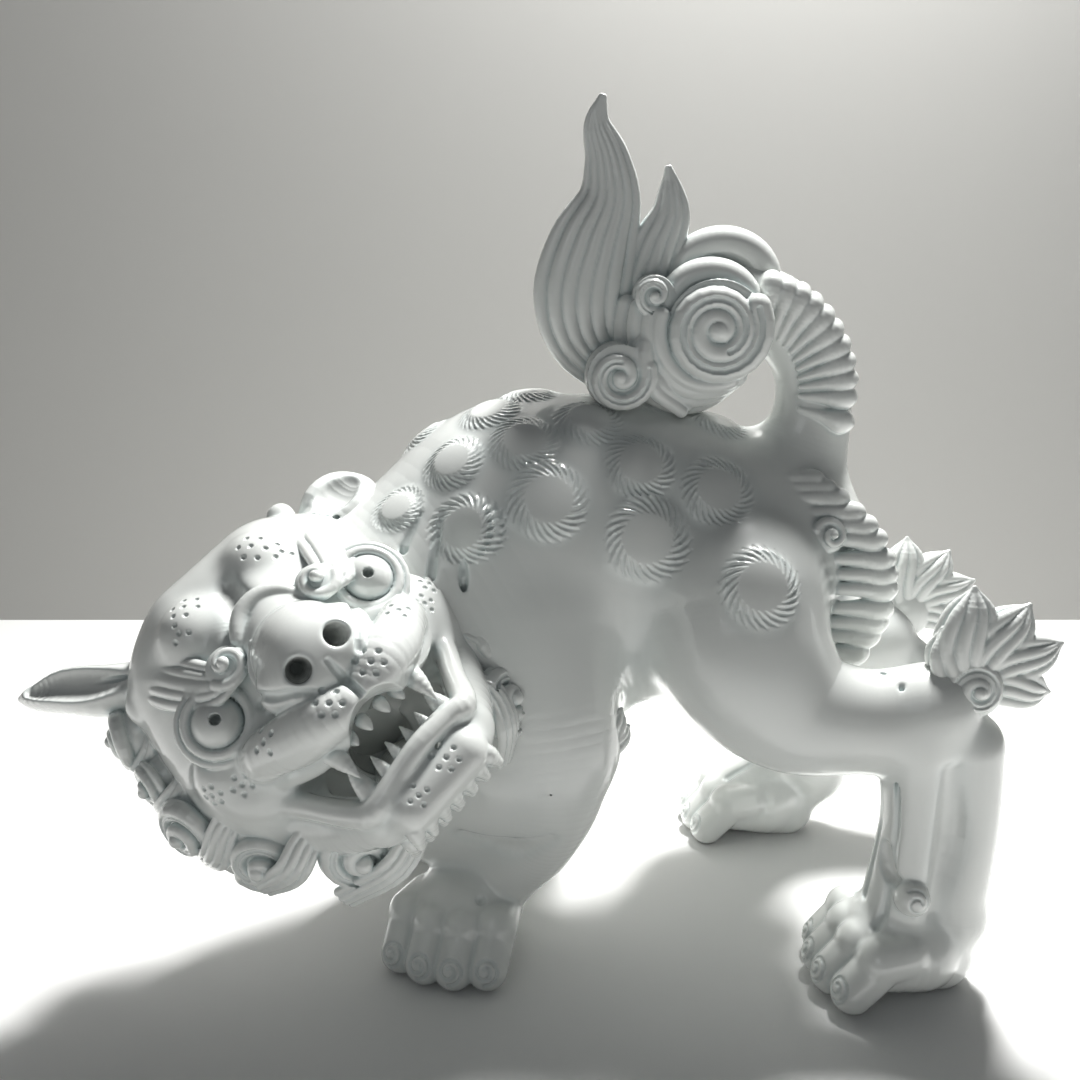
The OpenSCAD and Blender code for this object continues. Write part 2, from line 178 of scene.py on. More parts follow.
class Clay:
    """A region of the statue: forms of rounded links, each melting into what was modelled before it."""

    def __init__(self, pitch, floor=None):
        self.pitch = pitch
        self.floor = floor
        self.names = []
        self.forms = []
        self.rows = []
        self.owners = []

    def form(self, name, points, radii, melt=0.0, flat=None, thin=1.0, cut=False):
        """Adds a chain of links, or one ball, to the piece of that name, or cuts it away."""
        points = np.atleast_2d(np.asarray(points, float))
        radii = np.broadcast_to(np.asarray(radii, float), len(points))
        if len(points) == 1:
            points = np.repeat(points, 2, axis=0)
            radii = np.repeat(radii, 2)
        count = len(points) - 1
        axis = np.zeros((count, 3)) if flat is None else np.broadcast_to(np.asarray(flat, float), (count, 3))
        if name not in self.names:
            self.names.append(name)
        self.forms.append((self.names.index(name), float(melt), cut))
        self.rows.append(np.column_stack([
            points[:-1], points[1:], radii[:-1], radii[1:], axis, np.full(count, thin)
        ]))
        self.owners.append(np.full(count, len(self.forms) - 1))

    def table(self):
        """Every link and the form that owns it."""
        return np.concatenate(self.rows), np.concatenate(self.owners)

    def joined(self, distances, owners, height=None):
        """One distance for each point from the rows of its links, and the label of the nearest form."""
        starts = np.flatnonzero(np.r_[True, owners[1:] != owners[:-1]])
        per_form = np.minimum.reduceat(distances, starts, axis=0)
        total = np.full(distances.shape[1], FAR_OFF, distances.dtype)
        nearest = total.copy()
        labels = np.zeros(distances.shape[1], np.int32)
        for row, form in zip(per_form, owners[starts]):
            label, melt, cut = self.forms[form]
            if cut:
                total = -smooth_low(-total, row, melt)
            else:
                total = smooth_low(total, row, melt)
                closer = row < nearest
                nearest = np.where(closer, row, nearest)
                labels[closer] = label
        if height is not None:
            total = -smooth_low(-total, height - self.floor, 1.2)
        return total, labels

    def distance(self, points):
        """The clay's signed distance at any points."""
        links, owners = self.table()
        parts = []
        for chunk in np.array_split(np.asarray(points, float), max(1, len(points) // 100)):
            middle = chunk.mean(0)
            spread = np.linalg.norm(chunk - middle, axis=1).max()
            gap = self.pair_gap(middle[None], links)
            close = gap < gap.min() + 2 * spread + 40
            parts.append(self.joined(link_distances(chunk, links[close]), owners[close])[0])
        return np.concatenate(parts)

    def slope(self, points, step=0.2):
        shifts = np.eye(3) * step
        rise = [self.distance(points + s) - self.distance(points - s) for s in shifts]
        normal = np.stack(rise, 1)
        return normal / (np.linalg.norm(normal, axis=1, keepdims=True) + 1e-12)

    def land(self, points, direction, steps=24):
        """Moves points along a direction until they meet the clay's surface."""
        points = np.array(points, float)
        direction = np.asarray(direction, float)
        for _ in range(steps):
            points = points + direction * (self.distance(points) * 0.85)[:, None]
        return points

    def near_blocks(self):
        """The blocks that the surface may cross: their places, and the links that shape each one."""
        links, owners = self.table()
        size = BLOCK * self.pitch
        half = size * math.sqrt(3) / 2
        melts = np.array([melt for _, melt, _ in self.forms])
        cuts = np.array([cut for _, _, cut in self.forms])
        # A later form melts into all before it, so a link is felt as far as the widest melt that follows.
        felt = 1.2 * np.maximum.accumulate(melts[::-1])[::-1]
        radius = np.maximum(links[:, 6], links[:, 7])[:, None]
        low = np.minimum(links[:, 0:3], links[:, 3:6]) - radius
        high = np.maximum(links[:, 0:3], links[:, 3:6]) + radius
        self.origin = low[~cuts[owners]].min(0) - 4 * self.pitch
        span = high[~cuts[owners]].max(0) + 4 * self.pitch - self.origin
        self.blocks = np.ceil(span / size).astype(int)
        reach = felt[owners][:, None] + 3 + half * 0.2
        first = np.clip(np.floor((low - reach - self.origin) / size), 0, self.blocks - 1).astype(int)
        last = np.clip(np.floor((high + reach - self.origin) / size), 0, self.blocks - 1).astype(int)
        keys, which = [], []
        for i in range(len(links)):
            ranges = [np.arange(first[i, c], last[i, c] + 1) for c in range(3)]
            x, y, z = np.meshgrid(*ranges, indexing="ij")
            keys.append(((x * self.blocks[1] + y) * self.blocks[2] + z).ravel())
            which.append(np.full(keys[-1].size, i))
        keys, which = np.concatenate(keys), np.concatenate(which)
        centre = self.block_centre(keys)
        gap = np.empty(len(keys))
        for part in np.array_split(np.arange(len(keys)), max(1, len(keys) // 20000)):
            gap[part] = self.pair_gap(centre[part], links[which[part]])
        keep = gap < half * 1.1 + felt[owners[which]] + 3
        keys, which, gap = keys[keep], which[keep], gap[keep]
        order = np.lexsort((which, keys))
        keys, which, gap = keys[order], which[order], gap[order]
        found, starts = np.unique(keys, return_index=True)
        for key, chosen, close in zip(found, np.split(which, starts[1:]), np.split(gap, starts[1:])):
            carved = cuts[owners[chosen]]
            if carved.all():
                continue
            solid = close[~carved].min()
            if solid < -half * 1.1 and not carved.any() and not self.on_floor(key):
                continue
            yield key, links[chosen], owners[chosen]

    def on_floor(self, key):
        if self.floor is None:
            return False
        return abs(self.block_centre(np.array([key]))[0, 2] - self.floor) < BLOCK * self.pitch

    def block_centre(self, keys):
        z = keys % self.blocks[2]
        y = keys // self.blocks[2] % self.blocks[1]
        x = keys // (self.blocks[2] * self.blocks[1])
        return self.origin + (np.stack([x, y, z], 1) + 0.5) * BLOCK * self.pitch

    @staticmethod
    def pair_gap(points, links):
        """The distance from each point to the link of the same row."""
        ab = links[:, 3:6] - links[:, 0:3]
        t = ((points - links[:, 0:3]) * ab).sum(1) / ((ab * ab).sum(1) + 1e-9)
        t = np.clip(t, 0, 1)[:, None]
        out = points - links[:, 0:3] - t * ab
        radius = links[:, 6] + t[:, 0] * (links[:, 7] - links[:, 6])
        thin = links[:, 11]
        out2 = (out * out).sum(1) + 1e-9
        side2 = (out * links[:, 8:11]).sum(1) ** 2
        near = np.sqrt(out2 + (thin**-2 - 1) * side2)
        scale = np.sqrt(out2 + (thin**-4 - 1) * side2)
        return near * (near - radius) / scale

    def local(self, points, links, owners, centre):
        """Distances and labels near a block, in single precision about its centre."""
        moved = links.copy()
        moved[:, 0:3] -= centre
        moved[:, 3:6] -= centre
        height = None if self.floor is None else points[:, 2] + np.float32(centre[2])
        return self.joined(link_distances(points, moved.astype(np.float32)), owners, height)

    def mesh(self):
        """Meshes the surface: points, quads, normals, hollowness and the label of each point."""
        lattice = ((LATTICE - BLOCK / 2) * self.pitch).astype(np.float32)
        cells, spots, sheets, work = [], [], [], []
        for key, links, owners in self.near_blocks():
            centre = self.block_centre(np.array([key]))[0]
            value = self.local(lattice, links, owners, centre)[0].reshape([BLOCK + 1] * 3)
            full = value < 0
            if full.all() or not full.any():
                continue
            corner = np.rint((centre - self.origin) / self.pitch - BLOCK / 2).astype(np.int64)
            found, at = self.crossings(value, full)
            if len(found) == 0:
                continue
            cells.append(self.number(found + corner))
            spots.append((at + corner) * self.pitch + self.origin)
            sheets.append(self.sheets(full, corner))
            work.append((links, owners, centre))
        ends = np.cumsum([len(s) for s in spots])
        ids = np.concatenate(cells)
        points = np.concatenate(spots)
        normals = np.zeros_like(points)
        hollow = np.zeros(len(points))
        labels = np.zeros(len(points), int)
        for (links, owners, centre), end, spot in zip(work, ends, spots):
            part = slice(end - len(spot), end)
            settled, normal, value, label = self.settle(spot - centre, links, owners, centre)
            points[part] = settled + centre
            normals[part] = normal
            hollow[part] = value
            labels[part] = label
        order = np.argsort(ids)
        quads = np.concatenate(sheets)
        place = np.searchsorted(ids[order], quads.ravel())
        place = order[np.minimum(place, len(ids) - 1)]
        real = (ids[place] == quads.ravel()).reshape(-1, 4).all(1)
        return points, place.reshape(-1, 4)[real], normals, hollow, labels

    def number(self, cell):
        """One whole number for a cell of the whole grid."""
        cell = cell + 2
        return (cell[..., 0] * 8192 + cell[..., 1]) * 8192 + cell[..., 2]

    @staticmethod
    def crossings(value, full):
        """The cells that the surface crosses, and the middle of its crossings in each."""
        eight = sum(full[i:BLOCK + i, j:BLOCK + j, k:BLOCK + k].astype(np.int8) for i, j, k in CORNERS)
        cells = np.argwhere((eight > 0) & (eight < 8))
        if len(cells) == 0:
            return cells, cells
        at = cells[:, None] + CORNERS[None]
        corner = value[at[..., 0], at[..., 1], at[..., 2]]
        total = np.zeros((len(cells), 3))
        count = np.zeros(len(cells))
        for a, b in CELL_EDGES:
            crossed = (corner[:, a] < 0) != (corner[:, b] < 0)
            step = corner[:, a] - corner[:, b]
            t = corner[:, a] / np.where(crossed, step, 1)
            spot = CORNERS[a] + t[:, None] * (CORNERS[b] - CORNERS[a])
            total += np.where(crossed[:, None], spot, 0)
            count += crossed
        return cells, cells + total / count[:, None]

    def sheets(self, full, corner):
        """The four cells round each crossed edge of the grid, turned to face outwards."""
        made = []
        inner = full[:BLOCK, :BLOCK, :BLOCK]
        for axis in range(3):
            ahead = [slice(0, BLOCK)] * 3
            ahead[axis] = slice(1, BLOCK + 1)
            edges = np.argwhere(inner != full[tuple(ahead)])
            if len(edges) == 0:
                continue
            flip = ~inner[edges[:, 0], edges[:, 1], edges[:, 2]]
            second, third = (axis + 1) % 3, (axis + 2) % 3
            ring = np.repeat(edges[:, None] + corner, 4, axis=1)
            ring[:, :, second] -= [1, 0, 0, 1]
            ring[:, :, third] -= [1, 1, 0, 0]
            quads = self.number(ring)
            quads[flip] = quads[flip][:, ::-1]
            made.append(quads)
        return np.concatenate(made) if made else np.zeros((0, 4), np.int64)

    def settle(self, points, links, owners, centre):
        """Draws points onto the surface and reads its normal and how hollow it is there."""
        step = np.float32(0.18)
        shifts = np.concatenate([np.eye(3), -np.eye(3)]).astype(np.float32) * step
        for _ in range(2):
            points = points.astype(np.float32)
            spread = np.concatenate([points] + [points + s for s in shifts])
            value, labels = self.local(spread, links, owners, centre)
            value = value.reshape(7, -1)
            rise = (value[1:4] - value[4:7]).T
            normal = rise / (np.linalg.norm(rise, axis=1, keepdims=True) + 1e-12)
            steep = np.linalg.norm(rise, axis=1) / (2 * step)
            move = np.clip(value[0] / np.maximum(steep, 0.3), -self.pitch, self.pitch)
            points = points - normal * move[:, None]
        # How hollow the surface is here; the glaze uses it to paint shade into the grooves.
        reach = np.float32(2.4)
        above = self.local((points + normal * reach).astype(np.float32), links, owners, centre)[0]
        hollow = np.clip(1 - above / reach, 0, 1)
        return points, normal, hollow, labels[:len(points)]


# ---------- hair, curls and pores ----------


def strand(points, radii, steps=4):
    """A smooth curve through points, with the radii eased along it."""
    rows = np.column_stack([
        np.asarray(points, float), np.broadcast_to(np.asarray(radii, float), len(points))
    ])
    padded = np.concatenate([[2 * rows[0] - rows[1]], rows, [2 * rows[-1] - rows[-2]]])
    made = []
    for i in range(len(rows) - 1):
        p0, p1, p2, p3 = padded[i:i + 4]
        for t in np.arange(steps) / steps:
            made.append(0.5 * (2 * p1 + (p2 - p0) * t + (2 * p0 - 5 * p1 + 4 * p2 - p3) * t**2
                               + (3 * p1 - p0 - 3 * p2 + p3) * t**3))
    made.append(rows[-1])
    made = np.array(made)
    return made[:, :3], np.maximum(made[:, 3], 0.15)


def tube(clay, name, place, points, radii, melt=1.0, steps=4, **more):
    curve, sizes = strand(points, radii, steps)
    if "flat" in more:
        more["flat"] = place.turn(more["flat"])
    clay.form(name, place(curve), sizes, melt, **more)


def ball(clay, name, place, at, radius, melt=1.0, **more):
    if "flat" in more:
        more["flat"] = place.turn(more["flat"])
    clay.form(name, place([at]), radius, melt, **more)


def bundle(
    clay, name, place, spine, widths, facing, count, crown=0.5, melt=0.6, fat=1.2, faces=(1,), least=0.5
):
    """Strands side by side along a spine, which spread to the half widths given and meet at its tip."""
    curve, wide = strand(spine, widths, 5)
    ahead = np.gradient(curve, axis=0)
    ahead /= np.linalg.norm(ahead, axis=1, keepdims=True)
    across = np.cross(ahead, unit(facing))
    across /= np.linalg.norm(across, axis=1, keepdims=True)
    out = np.cross(across, ahead)
    for face in faces:
        for k in np.linspace(-1, 1, count):
            share = k * (1 - 1 / count)
            lift = crown * math.sqrt(1 - share * share)
            path = curve + across * (wide * share)[:, None] + out * (wide * lift * face)[:, None]
            clay.form(name, place(path), np.maximum(wide / count * fat, least), melt)


def snail(clay, name, place, r, turns=2.1, rise=0.5, hand=1, melt=0.6, band=0.25, line=True, bead=1.25):
    """A snail-shell curl: one strand wound inwards up a low dome, with a bead at its middle.

    The place's Z is the way it faces, and its X is where the strand begins."""
    ball(clay, name, place, (0, 0, 0), r * 0.86, melt, flat=(0, 0, 1), thin=max(rise * 0.7, 0.1))
    theta = np.linspace(0, turns * 2 * math.pi, int(turns * 20) + 1)
    share = theta / theta[-1]
    size = band * r * (1 - 0.45 * share)
    radius = (r - size[0]) * (1 - share) ** 0.9 + 0.02 * r
    height = rise * r * share ** 0.8
    path = np.column_stack([radius * np.cos(theta), hand * radius * np.sin(theta), height])
    clay.form(name, place(path), size, melt)
    if line:
        part = slice(0, int(len(theta) * 0.55))
        groove = path + np.column_stack([np.zeros_like(theta), np.zeros_like(theta), size * 1.02])
        clay.form(name, place(groove[part]), 0.055 * r, 0.5, cut=True)
    ball(clay, name, place, (0, 0, rise * r * 1.02), band * r * 0.62 * bead, 0.5)


def whorl(clay, name, start, direction, r, notches=24, turn=0.0):
    """A coat marking: a low dome ringed by curved notches that swirl round it."""
    middle = clay.land([start], direction)
    normal = clay.slope(middle, 1.5)[0]
    place = Place(middle[0]).inside((0, 0, 0), normal, (1, 0.2, 0.1))
    ball(clay, name, place, (0, 0, -0.07 * r), r * 0.82, r * 0.45, flat=(0, 0, 1), thin=0.3)
    rings = []
    for i in range(notches):
        begin = 2 * math.pi * i / notches + turn
        for t in (0, 0.35, 0.7, 1):
            angle = begin + 0.55 * t
            out = r * (0.6 + 0.38 * t)
            rings.append((out * math.cos(angle), out * math.sin(angle), 9))
    spots = clay.land(place(rings), -normal)
    for i in range(notches):
        clay.form(name, spots[4 * i:4 * i + 4] + normal * 0.2, [0.3, 0.85, 0.75, 0.2], 0.9, cut=True)


def pores(clay, name, place, at, facing, spread, size, count=6):
    """A rosette of small drilled pores."""
    spot = place.inside(at, facing, (0.3, 0.2, 1))
    angles = np.arange(count) * 2 * math.pi / count
    holes = [(0, 0, 9)] + [(spread * math.cos(a), spread * math.sin(a), 9) for a in angles]
    down = -spot.axes[:, 2]
    for point in clay.land(spot(holes), down):
        clay.form(name, [point - down * size * 0.2], size, 0.5, cut=True)


def crease(clay, name, place, points, radii, direction, melt=3.0, depth=0.0):
    """A groove pressed along the surface, found by dropping points along a direction."""
    curve, sizes = strand(points, radii, 4)
    down = place.turn(unit(direction))
    spots = clay.land(place(curve), down)
    clay.form(name, spots + down * depth, sizes, melt, cut=True)


# ---------- the statue's regions ----------


def statue_place():
    """The part's own datum: the rump's end, the tail's mid-plane and the floor."""
    rump = cad_box("torso")[1][0]
    middle = cad_centre("tail_stem")[1]
    return Place((rump - 137, middle, CAD_BOX[0][2] * 1000))


def head_place():
    """The head's axes: X to its left, -Y forward and Z to its crown."""
    axes = turned("z", 36) @ turned("y", -35) @ turned("x", -50)
    middle = (cad_centre("left_eye") + cad_centre("right_eye")) / 2
    return Place(middle - axes @ np.array([0, -31, 6]), axes)


HIND_LEGS = {
    "near": {"hock": (158, 59, 112), "heel": (154, 58, 32)},
    "far": {"hock": (176, 68, 98), "heel": (131, 71, 32)},
}

# How far each front foot stands in from the stance.
INSETS = {"near": 29, "far": 12}

PAWS = {
    "near_front_paw": ((-32, -35, 0), 252),
    "far_front_paw": ((-40, 52, 0), 150),
    "near_hind_paw": ((143, -57, 0), 184),
    "far_hind_paw": ((108, 72, 0), 176),
}


def model_torso(clay, at):
    flat = (0, 1, 0)
    tube(clay, "torso", at, [(0, 0, 164), (35, 0, 166), (65, 0, 161), (88, 0, 164)], [62, 62, 59, 50],
         steps=12, flat=flat, thin=0.78)
    tube(clay, "torso", at, [(-22, -2, 84), (-12, -2, 130), (-2, 0, 172)], [50, 53, 52], 34, 10)
    ball(clay, "torso", at, (-34, -4, 72), 46, 20)
    tube(clay, "neck", at, [(-20, -4, 160), (-60, -24, 140), (-80, -45, 134)], [55, 50, 46], 24, 10)


def model_front_leg(clay, at, side):
    s = SIDES[side]
    name = side + "_front_leg"
    inset = INSETS[side]
    tube(clay, name, at, [(-8, s * 36, 132), (-16, s * 42, 92)], [29, 30], 26)
    tube(clay, name, at, [
        (-2, s * 36, 146), (4, s * 45, 110), (6, s * (54 - inset * 0.15), 82),
        (-1, s * (58 - inset * 0.55), 56),
        (-11, s * (60 - inset * 0.85), 40), (-20, s * (62 - inset), 28)
    ], [27, 27, 20, 16.5, 15, 14.5], 14, 10)
    ball(clay, name, at, (15, s * 50, 98), 14, 14)
    crease(clay, name, at, [(-30, s * 110, 62), (-14, s * 110, 58), (4, s * 110, 66)], [2, 4, 1.5],
        (0, -s, 0), 8, -1)


def model_hind_leg(clay, at, side):
    s = SIDES[side]
    name = side + "_hind_leg"
    hx, hy, hz = HIND_LEGS[side]["hock"]
    fx, fy, fz = HIND_LEGS[side]["heel"]
    flat = (0, 1, 0)
    tube(clay, name, at, [
        (hx - 80, s * (hy - 20), hz + 42), (hx - 77, s * (hy - 12), hz + 22), (hx - 60, s * (hy - 7), hz + 4),
        (hx - 36, s * (hy - 3), hz), (hx - 13, s * (hy - 1), hz + 1)
    ], [34, 33, 26, 21, 21], 20, 12, flat=flat, thin=0.82)
    lean = (hx - fx) / (hz - fz)
    for shift, wide in ((-9.5, 14), (8.5, 13.5)):
        tube(clay, name, at, [
            (hx - 3 + shift, s * hy, hz - 9), ((hx + fx) / 2 + shift + 1, s * (hy + fy) / 2, (hz + fz) / 2),
            (fx + shift, s * fy, fz + 6), (fx + shift - lean * 6 - 1, s * fy, fz - 8)
        ], [wide + 1, wide, wide + 1, wide - 1], 9, 8)
    ball(clay, name, at, (fx + 11, s * fy, fz - 3), 13, 8)
    ball(clay, name, at, (hx - 8, s * (hy + 2), hz + 9), 14, 12)
    crease(clay, name, at, [(hx - 4, s * 110, hz - 14), ((hx + fx) / 2, s * 110, 70),
        (fx - 2, s * 110, fz + 8)],
           [2, 5, 2], (0, -s, 0), 9, -1.5)


def model_paw(clay, at, name):
    origin, heading = PAWS[name]
    paw = Place(at(origin), turned("z", heading))
    tube(clay, name, paw, [(-17, 0, 12), (2, 0, 19)], [15, 20], 8)
    for s in (-1, 1):
        tube(clay, name, paw, [(-6, 7 * s, 18), (8, 10 * s, 18)], [16, 14], 6)
    for k in (-1.5, -0.5, 0.5, 1.5):
        tip = 30 - 4 * abs(k)
        side = 12.5 * k
        tube(clay, name, paw, [(tip - 22, 11 * k, 25 - 2 * abs(k)), (tip - 11, side, 21)], [9, 9.2], 2.2)
        tube(clay, name, paw, [(tip - 9, side, 17), (tip - 1, side, 8)], [8.6, 8.4], 1.4)
        claw = paw.inside((tip - 1, side, 9), (1, 0.16 * k, 0.32), (0, 0, -1))
        turns = np.linspace(0, 3.1 * math.pi, 26)
        curl = [(5.6 * (1 - 0.24 * a / math.pi) * math.cos(a),
                 5.6 * (1 - 0.24 * a / math.pi) * math.sin(a), 14)
                for a in turns]
        spots = clay.land(claw(curl), -claw.axes[:, 2])
        clay.form(name, spots, 0.75, 0.8, cut=True)
    for k in (-1, 0, 1):
        crease(clay, name, paw, [(16, 12.5 * k, 60), (2, 9 * k, 60)], [1.8, 0.8], (-0.1, 0, -1), 2.5)


def model_spur(clay, side):
    s = SIDES[side]
    name = side + "_hind_spur"
    spot = Place(cad_centre(name)).mirrored(-s)
    crease(clay, side + "_hind_leg", spot, [(-9, 30, 17), (-8.5, 30, 10), (-4, 30, 3)], [2.4, 3, 2],
        (0, -1, 0), 3)
    ball(clay, name, spot, (0, 0, 0), 6.8, 2.2)
    curl = spot.inside((0, 2, 0), (0.1, 1, 0.2), (-0.6, 0, 1))
    angles = np.linspace(0, 2.6 * math.pi, 24)
    path = [(5.4 * (1 - 0.26 * a / math.pi) * math.cos(a), 5.4 * (1 - 0.26 * a / math.pi) * math.sin(a), 9)
            for a in angles]
    clay.form(name, clay.land(curl(path), -curl.axes[:, 2]), 0.6, 0.8, cut=True)


def fringe(clay, name, place, line, out, count, inward, length, sizes=(2.2, 4.2)):
    """Rounded locks along an edge, each running outwards from the skin to a full tip."""
    edge, _ = strand(line, 1, 8)
    picks = np.linspace(0, len(edge) - 1, count).astype(int)
    for i in picks:
        spot = edge[i]
        tip = spot + np.asarray(out, float) * length
        root = spot - np.asarray(inward, float)
        tube(clay, name, place, [root, (root + spot) / 2 + np.asarray(out) * 1.5, spot, tip],
             [sizes[0] * 0.7, sizes[0], sizes[1], sizes[1] * 0.8], 0.9)


def model_rump_fringe(clay, at, side):
    s = SIDES[side]
    name = side + "_rump_fringe"
    line = [(106, s * 21, 199), (118, s * 26, 190), (130, s * 29, 177), (135, s * 30, 161),
        (133, s * 30, 145),
            (126, s * 29, 130)]
    fringe(clay, name, at, line, (0.85, s * 0.35, 0.25), 13, (17, s * -2, -1), 3, (3.6, 5.4))
    curl = at.inside((113, s * 33, 180), (0.25, s, 0.25), (-1, 0, 0.4))
    snail(clay, name, curl, 8, 1.4, 0.5, s, line=False)


def model_tail_stem(clay, at):
    tube(clay, "tail_stem", at, [
        (90, 0, 180), (104, 0, 200), (111, 0, 222), (109, 0, 244), (98, 0, 260), (82, 0, 266), (66, 0, 262)
    ], [24, 20, 16, 15, 16, 17, 17], 16, flat=(0, 1, 0), thin=0.86, steps=10)
    for s in (-1, 1):
        line = [(88, s * 12, 274), (102, s * 12, 268), (113, s * 12, 256), (119, s * 12, 240),
            (119, s * 12, 222)]
        edge, _ = strand(line, 1, 8)
        middle = np.array([84, s * 9, 232])
        for i in np.linspace(1, len(edge) - 1, 11).astype(int):
            out = unit(edge[i] - middle)
            root = edge[i] - out * 16 + (0, s * 1, 0)
            tip = edge[i] + out * 3 - (0, s * 2.5, 0)
            tube(clay, "tail_fringe", at, [root, edge[i] - out * 6 + (0, s * 1.5, 0), edge[i], tip],
                 [1.2, 3, 5, 4.4], 0.9)


WHORLS = [
    (-54, -38, 190, 11), (-33, -31, 204, 13), (-20, -14, 221, 13), (-27, -50, 186, 14), (-6, -31, 211, 14),
    (3, -45, 194, 16), (19, -23, 221, 14), (38, -36, 207, 14.5), (40, -47, 182, 17), (68, -37, 198, 15),
    (81, -62, 168, 16), (44, 0, 226, 14), (72, -6, 219, 13), (-4, 0, 230, 13),
    (-48, 2, 206, 12), (-30, 32, 204, 14), (-28, 50, 184, 14), (-4, 32, 211, 14), (2, 48, 190, 16),
    (20, 24, 221, 14), (38, 38, 205, 15), (42, 48, 180, 16), (68, 38, 197, 15), (82, 62, 166, 16),
]


def model_whorls(clay, at):
    for i, (x, y, z, r) in enumerate(WHORLS):
        out = unit((0.06 * (x - 20) / 10, y, 0.9 * (z - 164)))
        whorl(clay, "torso", at((x, y, z)) + out * 25, -out, r, 24, 0.7 * i)


def model_body(pitch):
    clay = Clay(pitch, floor=CAD_BOX[0][2] * 1000)
    at = statue_place()
    model_torso(clay, at)
    for side in SIDES:
        model_hind_leg(clay, at, side)
    for side in SIDES:
        model_front_leg(clay, at, side)
    model_tail_stem(clay, at)
    for name in PAWS:
        model_paw(clay, at, name)
    for side in SIDES:
        model_spur(clay, side)
        model_rump_fringe(clay, at, side)
    model_whorls(clay, at)
    return clay


def model_scroll(clay, name, place, r, turns, start, half, hand=1, rise=0.22):
    """A rolled lock that shows a snail curl at each of its two ends."""
    core = max(half - r * 0.8, 0.5)
    clay.form(name, place([(0, -core, 0), (0, core, 0)]), r * 0.8, 1)
    for s in (-1, 1):
        ball(clay, name, place, (0, s * half * 0.5, 0), r * 0.9, 1, flat=(0, 1, 0),
            thin=half * 0.5 / (r * 0.9))
    for s in (-1, 1):
        face = place.inside((0, s * half, 0), (0, s, 0), start)
        snail(clay, name, face, r, turns, rise, hand * s, line=True)


def model_tail(pitch):
    clay = Clay(pitch)
    at = statue_place()
    large = Place(cad_centre("tail_large_scroll"))
    low = Place(cad_centre("tail_low_scroll"))
    small = Place(cad_centre("tail_small_scroll"))
    # Strands that sweep round below the large scroll, from the small scroll to the stem.
    for s in (-1, 1):
        for i, (r, y, size) in enumerate([(25, 17, 4.2), (30, 13, 4.4), (35, 8, 4.2), (22, 20, 3.2)]):
            turns = np.linspace(165, 296 - 3 * i, 14)
            wide = r - (r - 20) * np.clip((turns - 240) / 56, 0, 1)
            path = [(w * math.cos(math.radians(a)), s * y, w * math.sin(math.radians(a))) for w,
                a in zip(wide, turns)]
            tube(clay, "tail_large_scroll", large, path, size, 1.2, 2)
    for y, r, x, z, size in [(0, 15, 4, 17, 7.5), (12, 13, -2, 8, 6.5), (-12, 13, -2, 8, 6.5)]:
        angles = np.radians(np.linspace(-25, 205, 16))
        path = [(x + r * 1.12 * math.cos(a), y, z + r * math.sin(a)) for a in angles]
        tube(clay, "tail_rolls", large, path, size, 0.8, 2)
    tube(clay, "tail_rolls", large, [(-20, 0, -10), (-6, 0, 4), (8, 0, 6)], [14, 17, 15], 4)
    model_scroll(clay, "tail_large_scroll", large, 22.5, 2.4, (0.9, 0, 0.5), 20, 1, 0.16)
    model_scroll(clay, "tail_small_scroll", small, 9, 1.4, (0.5, 0, -1), 18, 1, 0.3)
    model_scroll(clay, "tail_low_scroll", low, 15, 1.5, (1, 0, 0.3), 20, 1, 0.1)
    # The low scroll's strands flow in from below the small scroll.
    for s in (-1, 1):
        for i in range(3):
            tube(clay, "tail_low_scroll", at, [
                (46 - 2 * i, s * (15 - i), 262 - i), (41 - 3 * i, s * (19 - i), 249 - 2 * i),
                (44 + 3 * i, s * (19 - i), 236 + i), (56 + 2 * i, s * (15 - 2 * i), 226 + 2 * i)
            ], [2.5, 3.6, 3.4, 2.6], 0.8)
    tall = [(46, 0, 246), (32, 0, 243), (20, 0, 254), (17, 0, 271), (21, 0, 290), (27, 0, 307), (26, 0, 322),
            (22, 0, 335), (24, 0, 345)]
    wide = [7, 11, 16, 19, 17, 12, 8.5, 5, 0.8]
    curve, widths = strand(tall, wide, 3)
    clay.form("tail_tall_flame", at(curve), widths * 0.62, 2, flat=(0, 1, 0), thin=0.75)
    bundle(clay, "tail_tall_flame", at, tall, wide, (0, -1, 0), 7, 0.42, 0.7, 1.28, (1, -1), 0.9)
    short = [(50, 0, 262), (43, 0, 272), (46, 0, 288), (51, 0, 301), (51, 0, 311), (50, 0, 319)]
    wide = [8, 11, 10, 7.5, 4.5, 0.8]
    curve, widths = strand(short, wide, 3)
    clay.form("tail_short_flame", at(curve), widths * 0.62, 2, flat=(0, 1, 0), thin=0.75)
    bundle(clay, "tail_short_flame", at, short, wide, (0, -1, 0), 5, 0.45, 0.7, 1.28, (1, -1), 0.8)
    return clay


HOCK_FAN = [(-30, 1.0, 0.27), (-3, 1.5, 0.3), (32, 1.45, 0.29), (64, 1.45, 0.27), (97, 1.2, 0.26)]
ELBOW_FAN = [(-14, 1.3, 0.26), (8, 1.5, 0.26), (30, 1.2, 0.25), (52, 1.0, 0.24)]


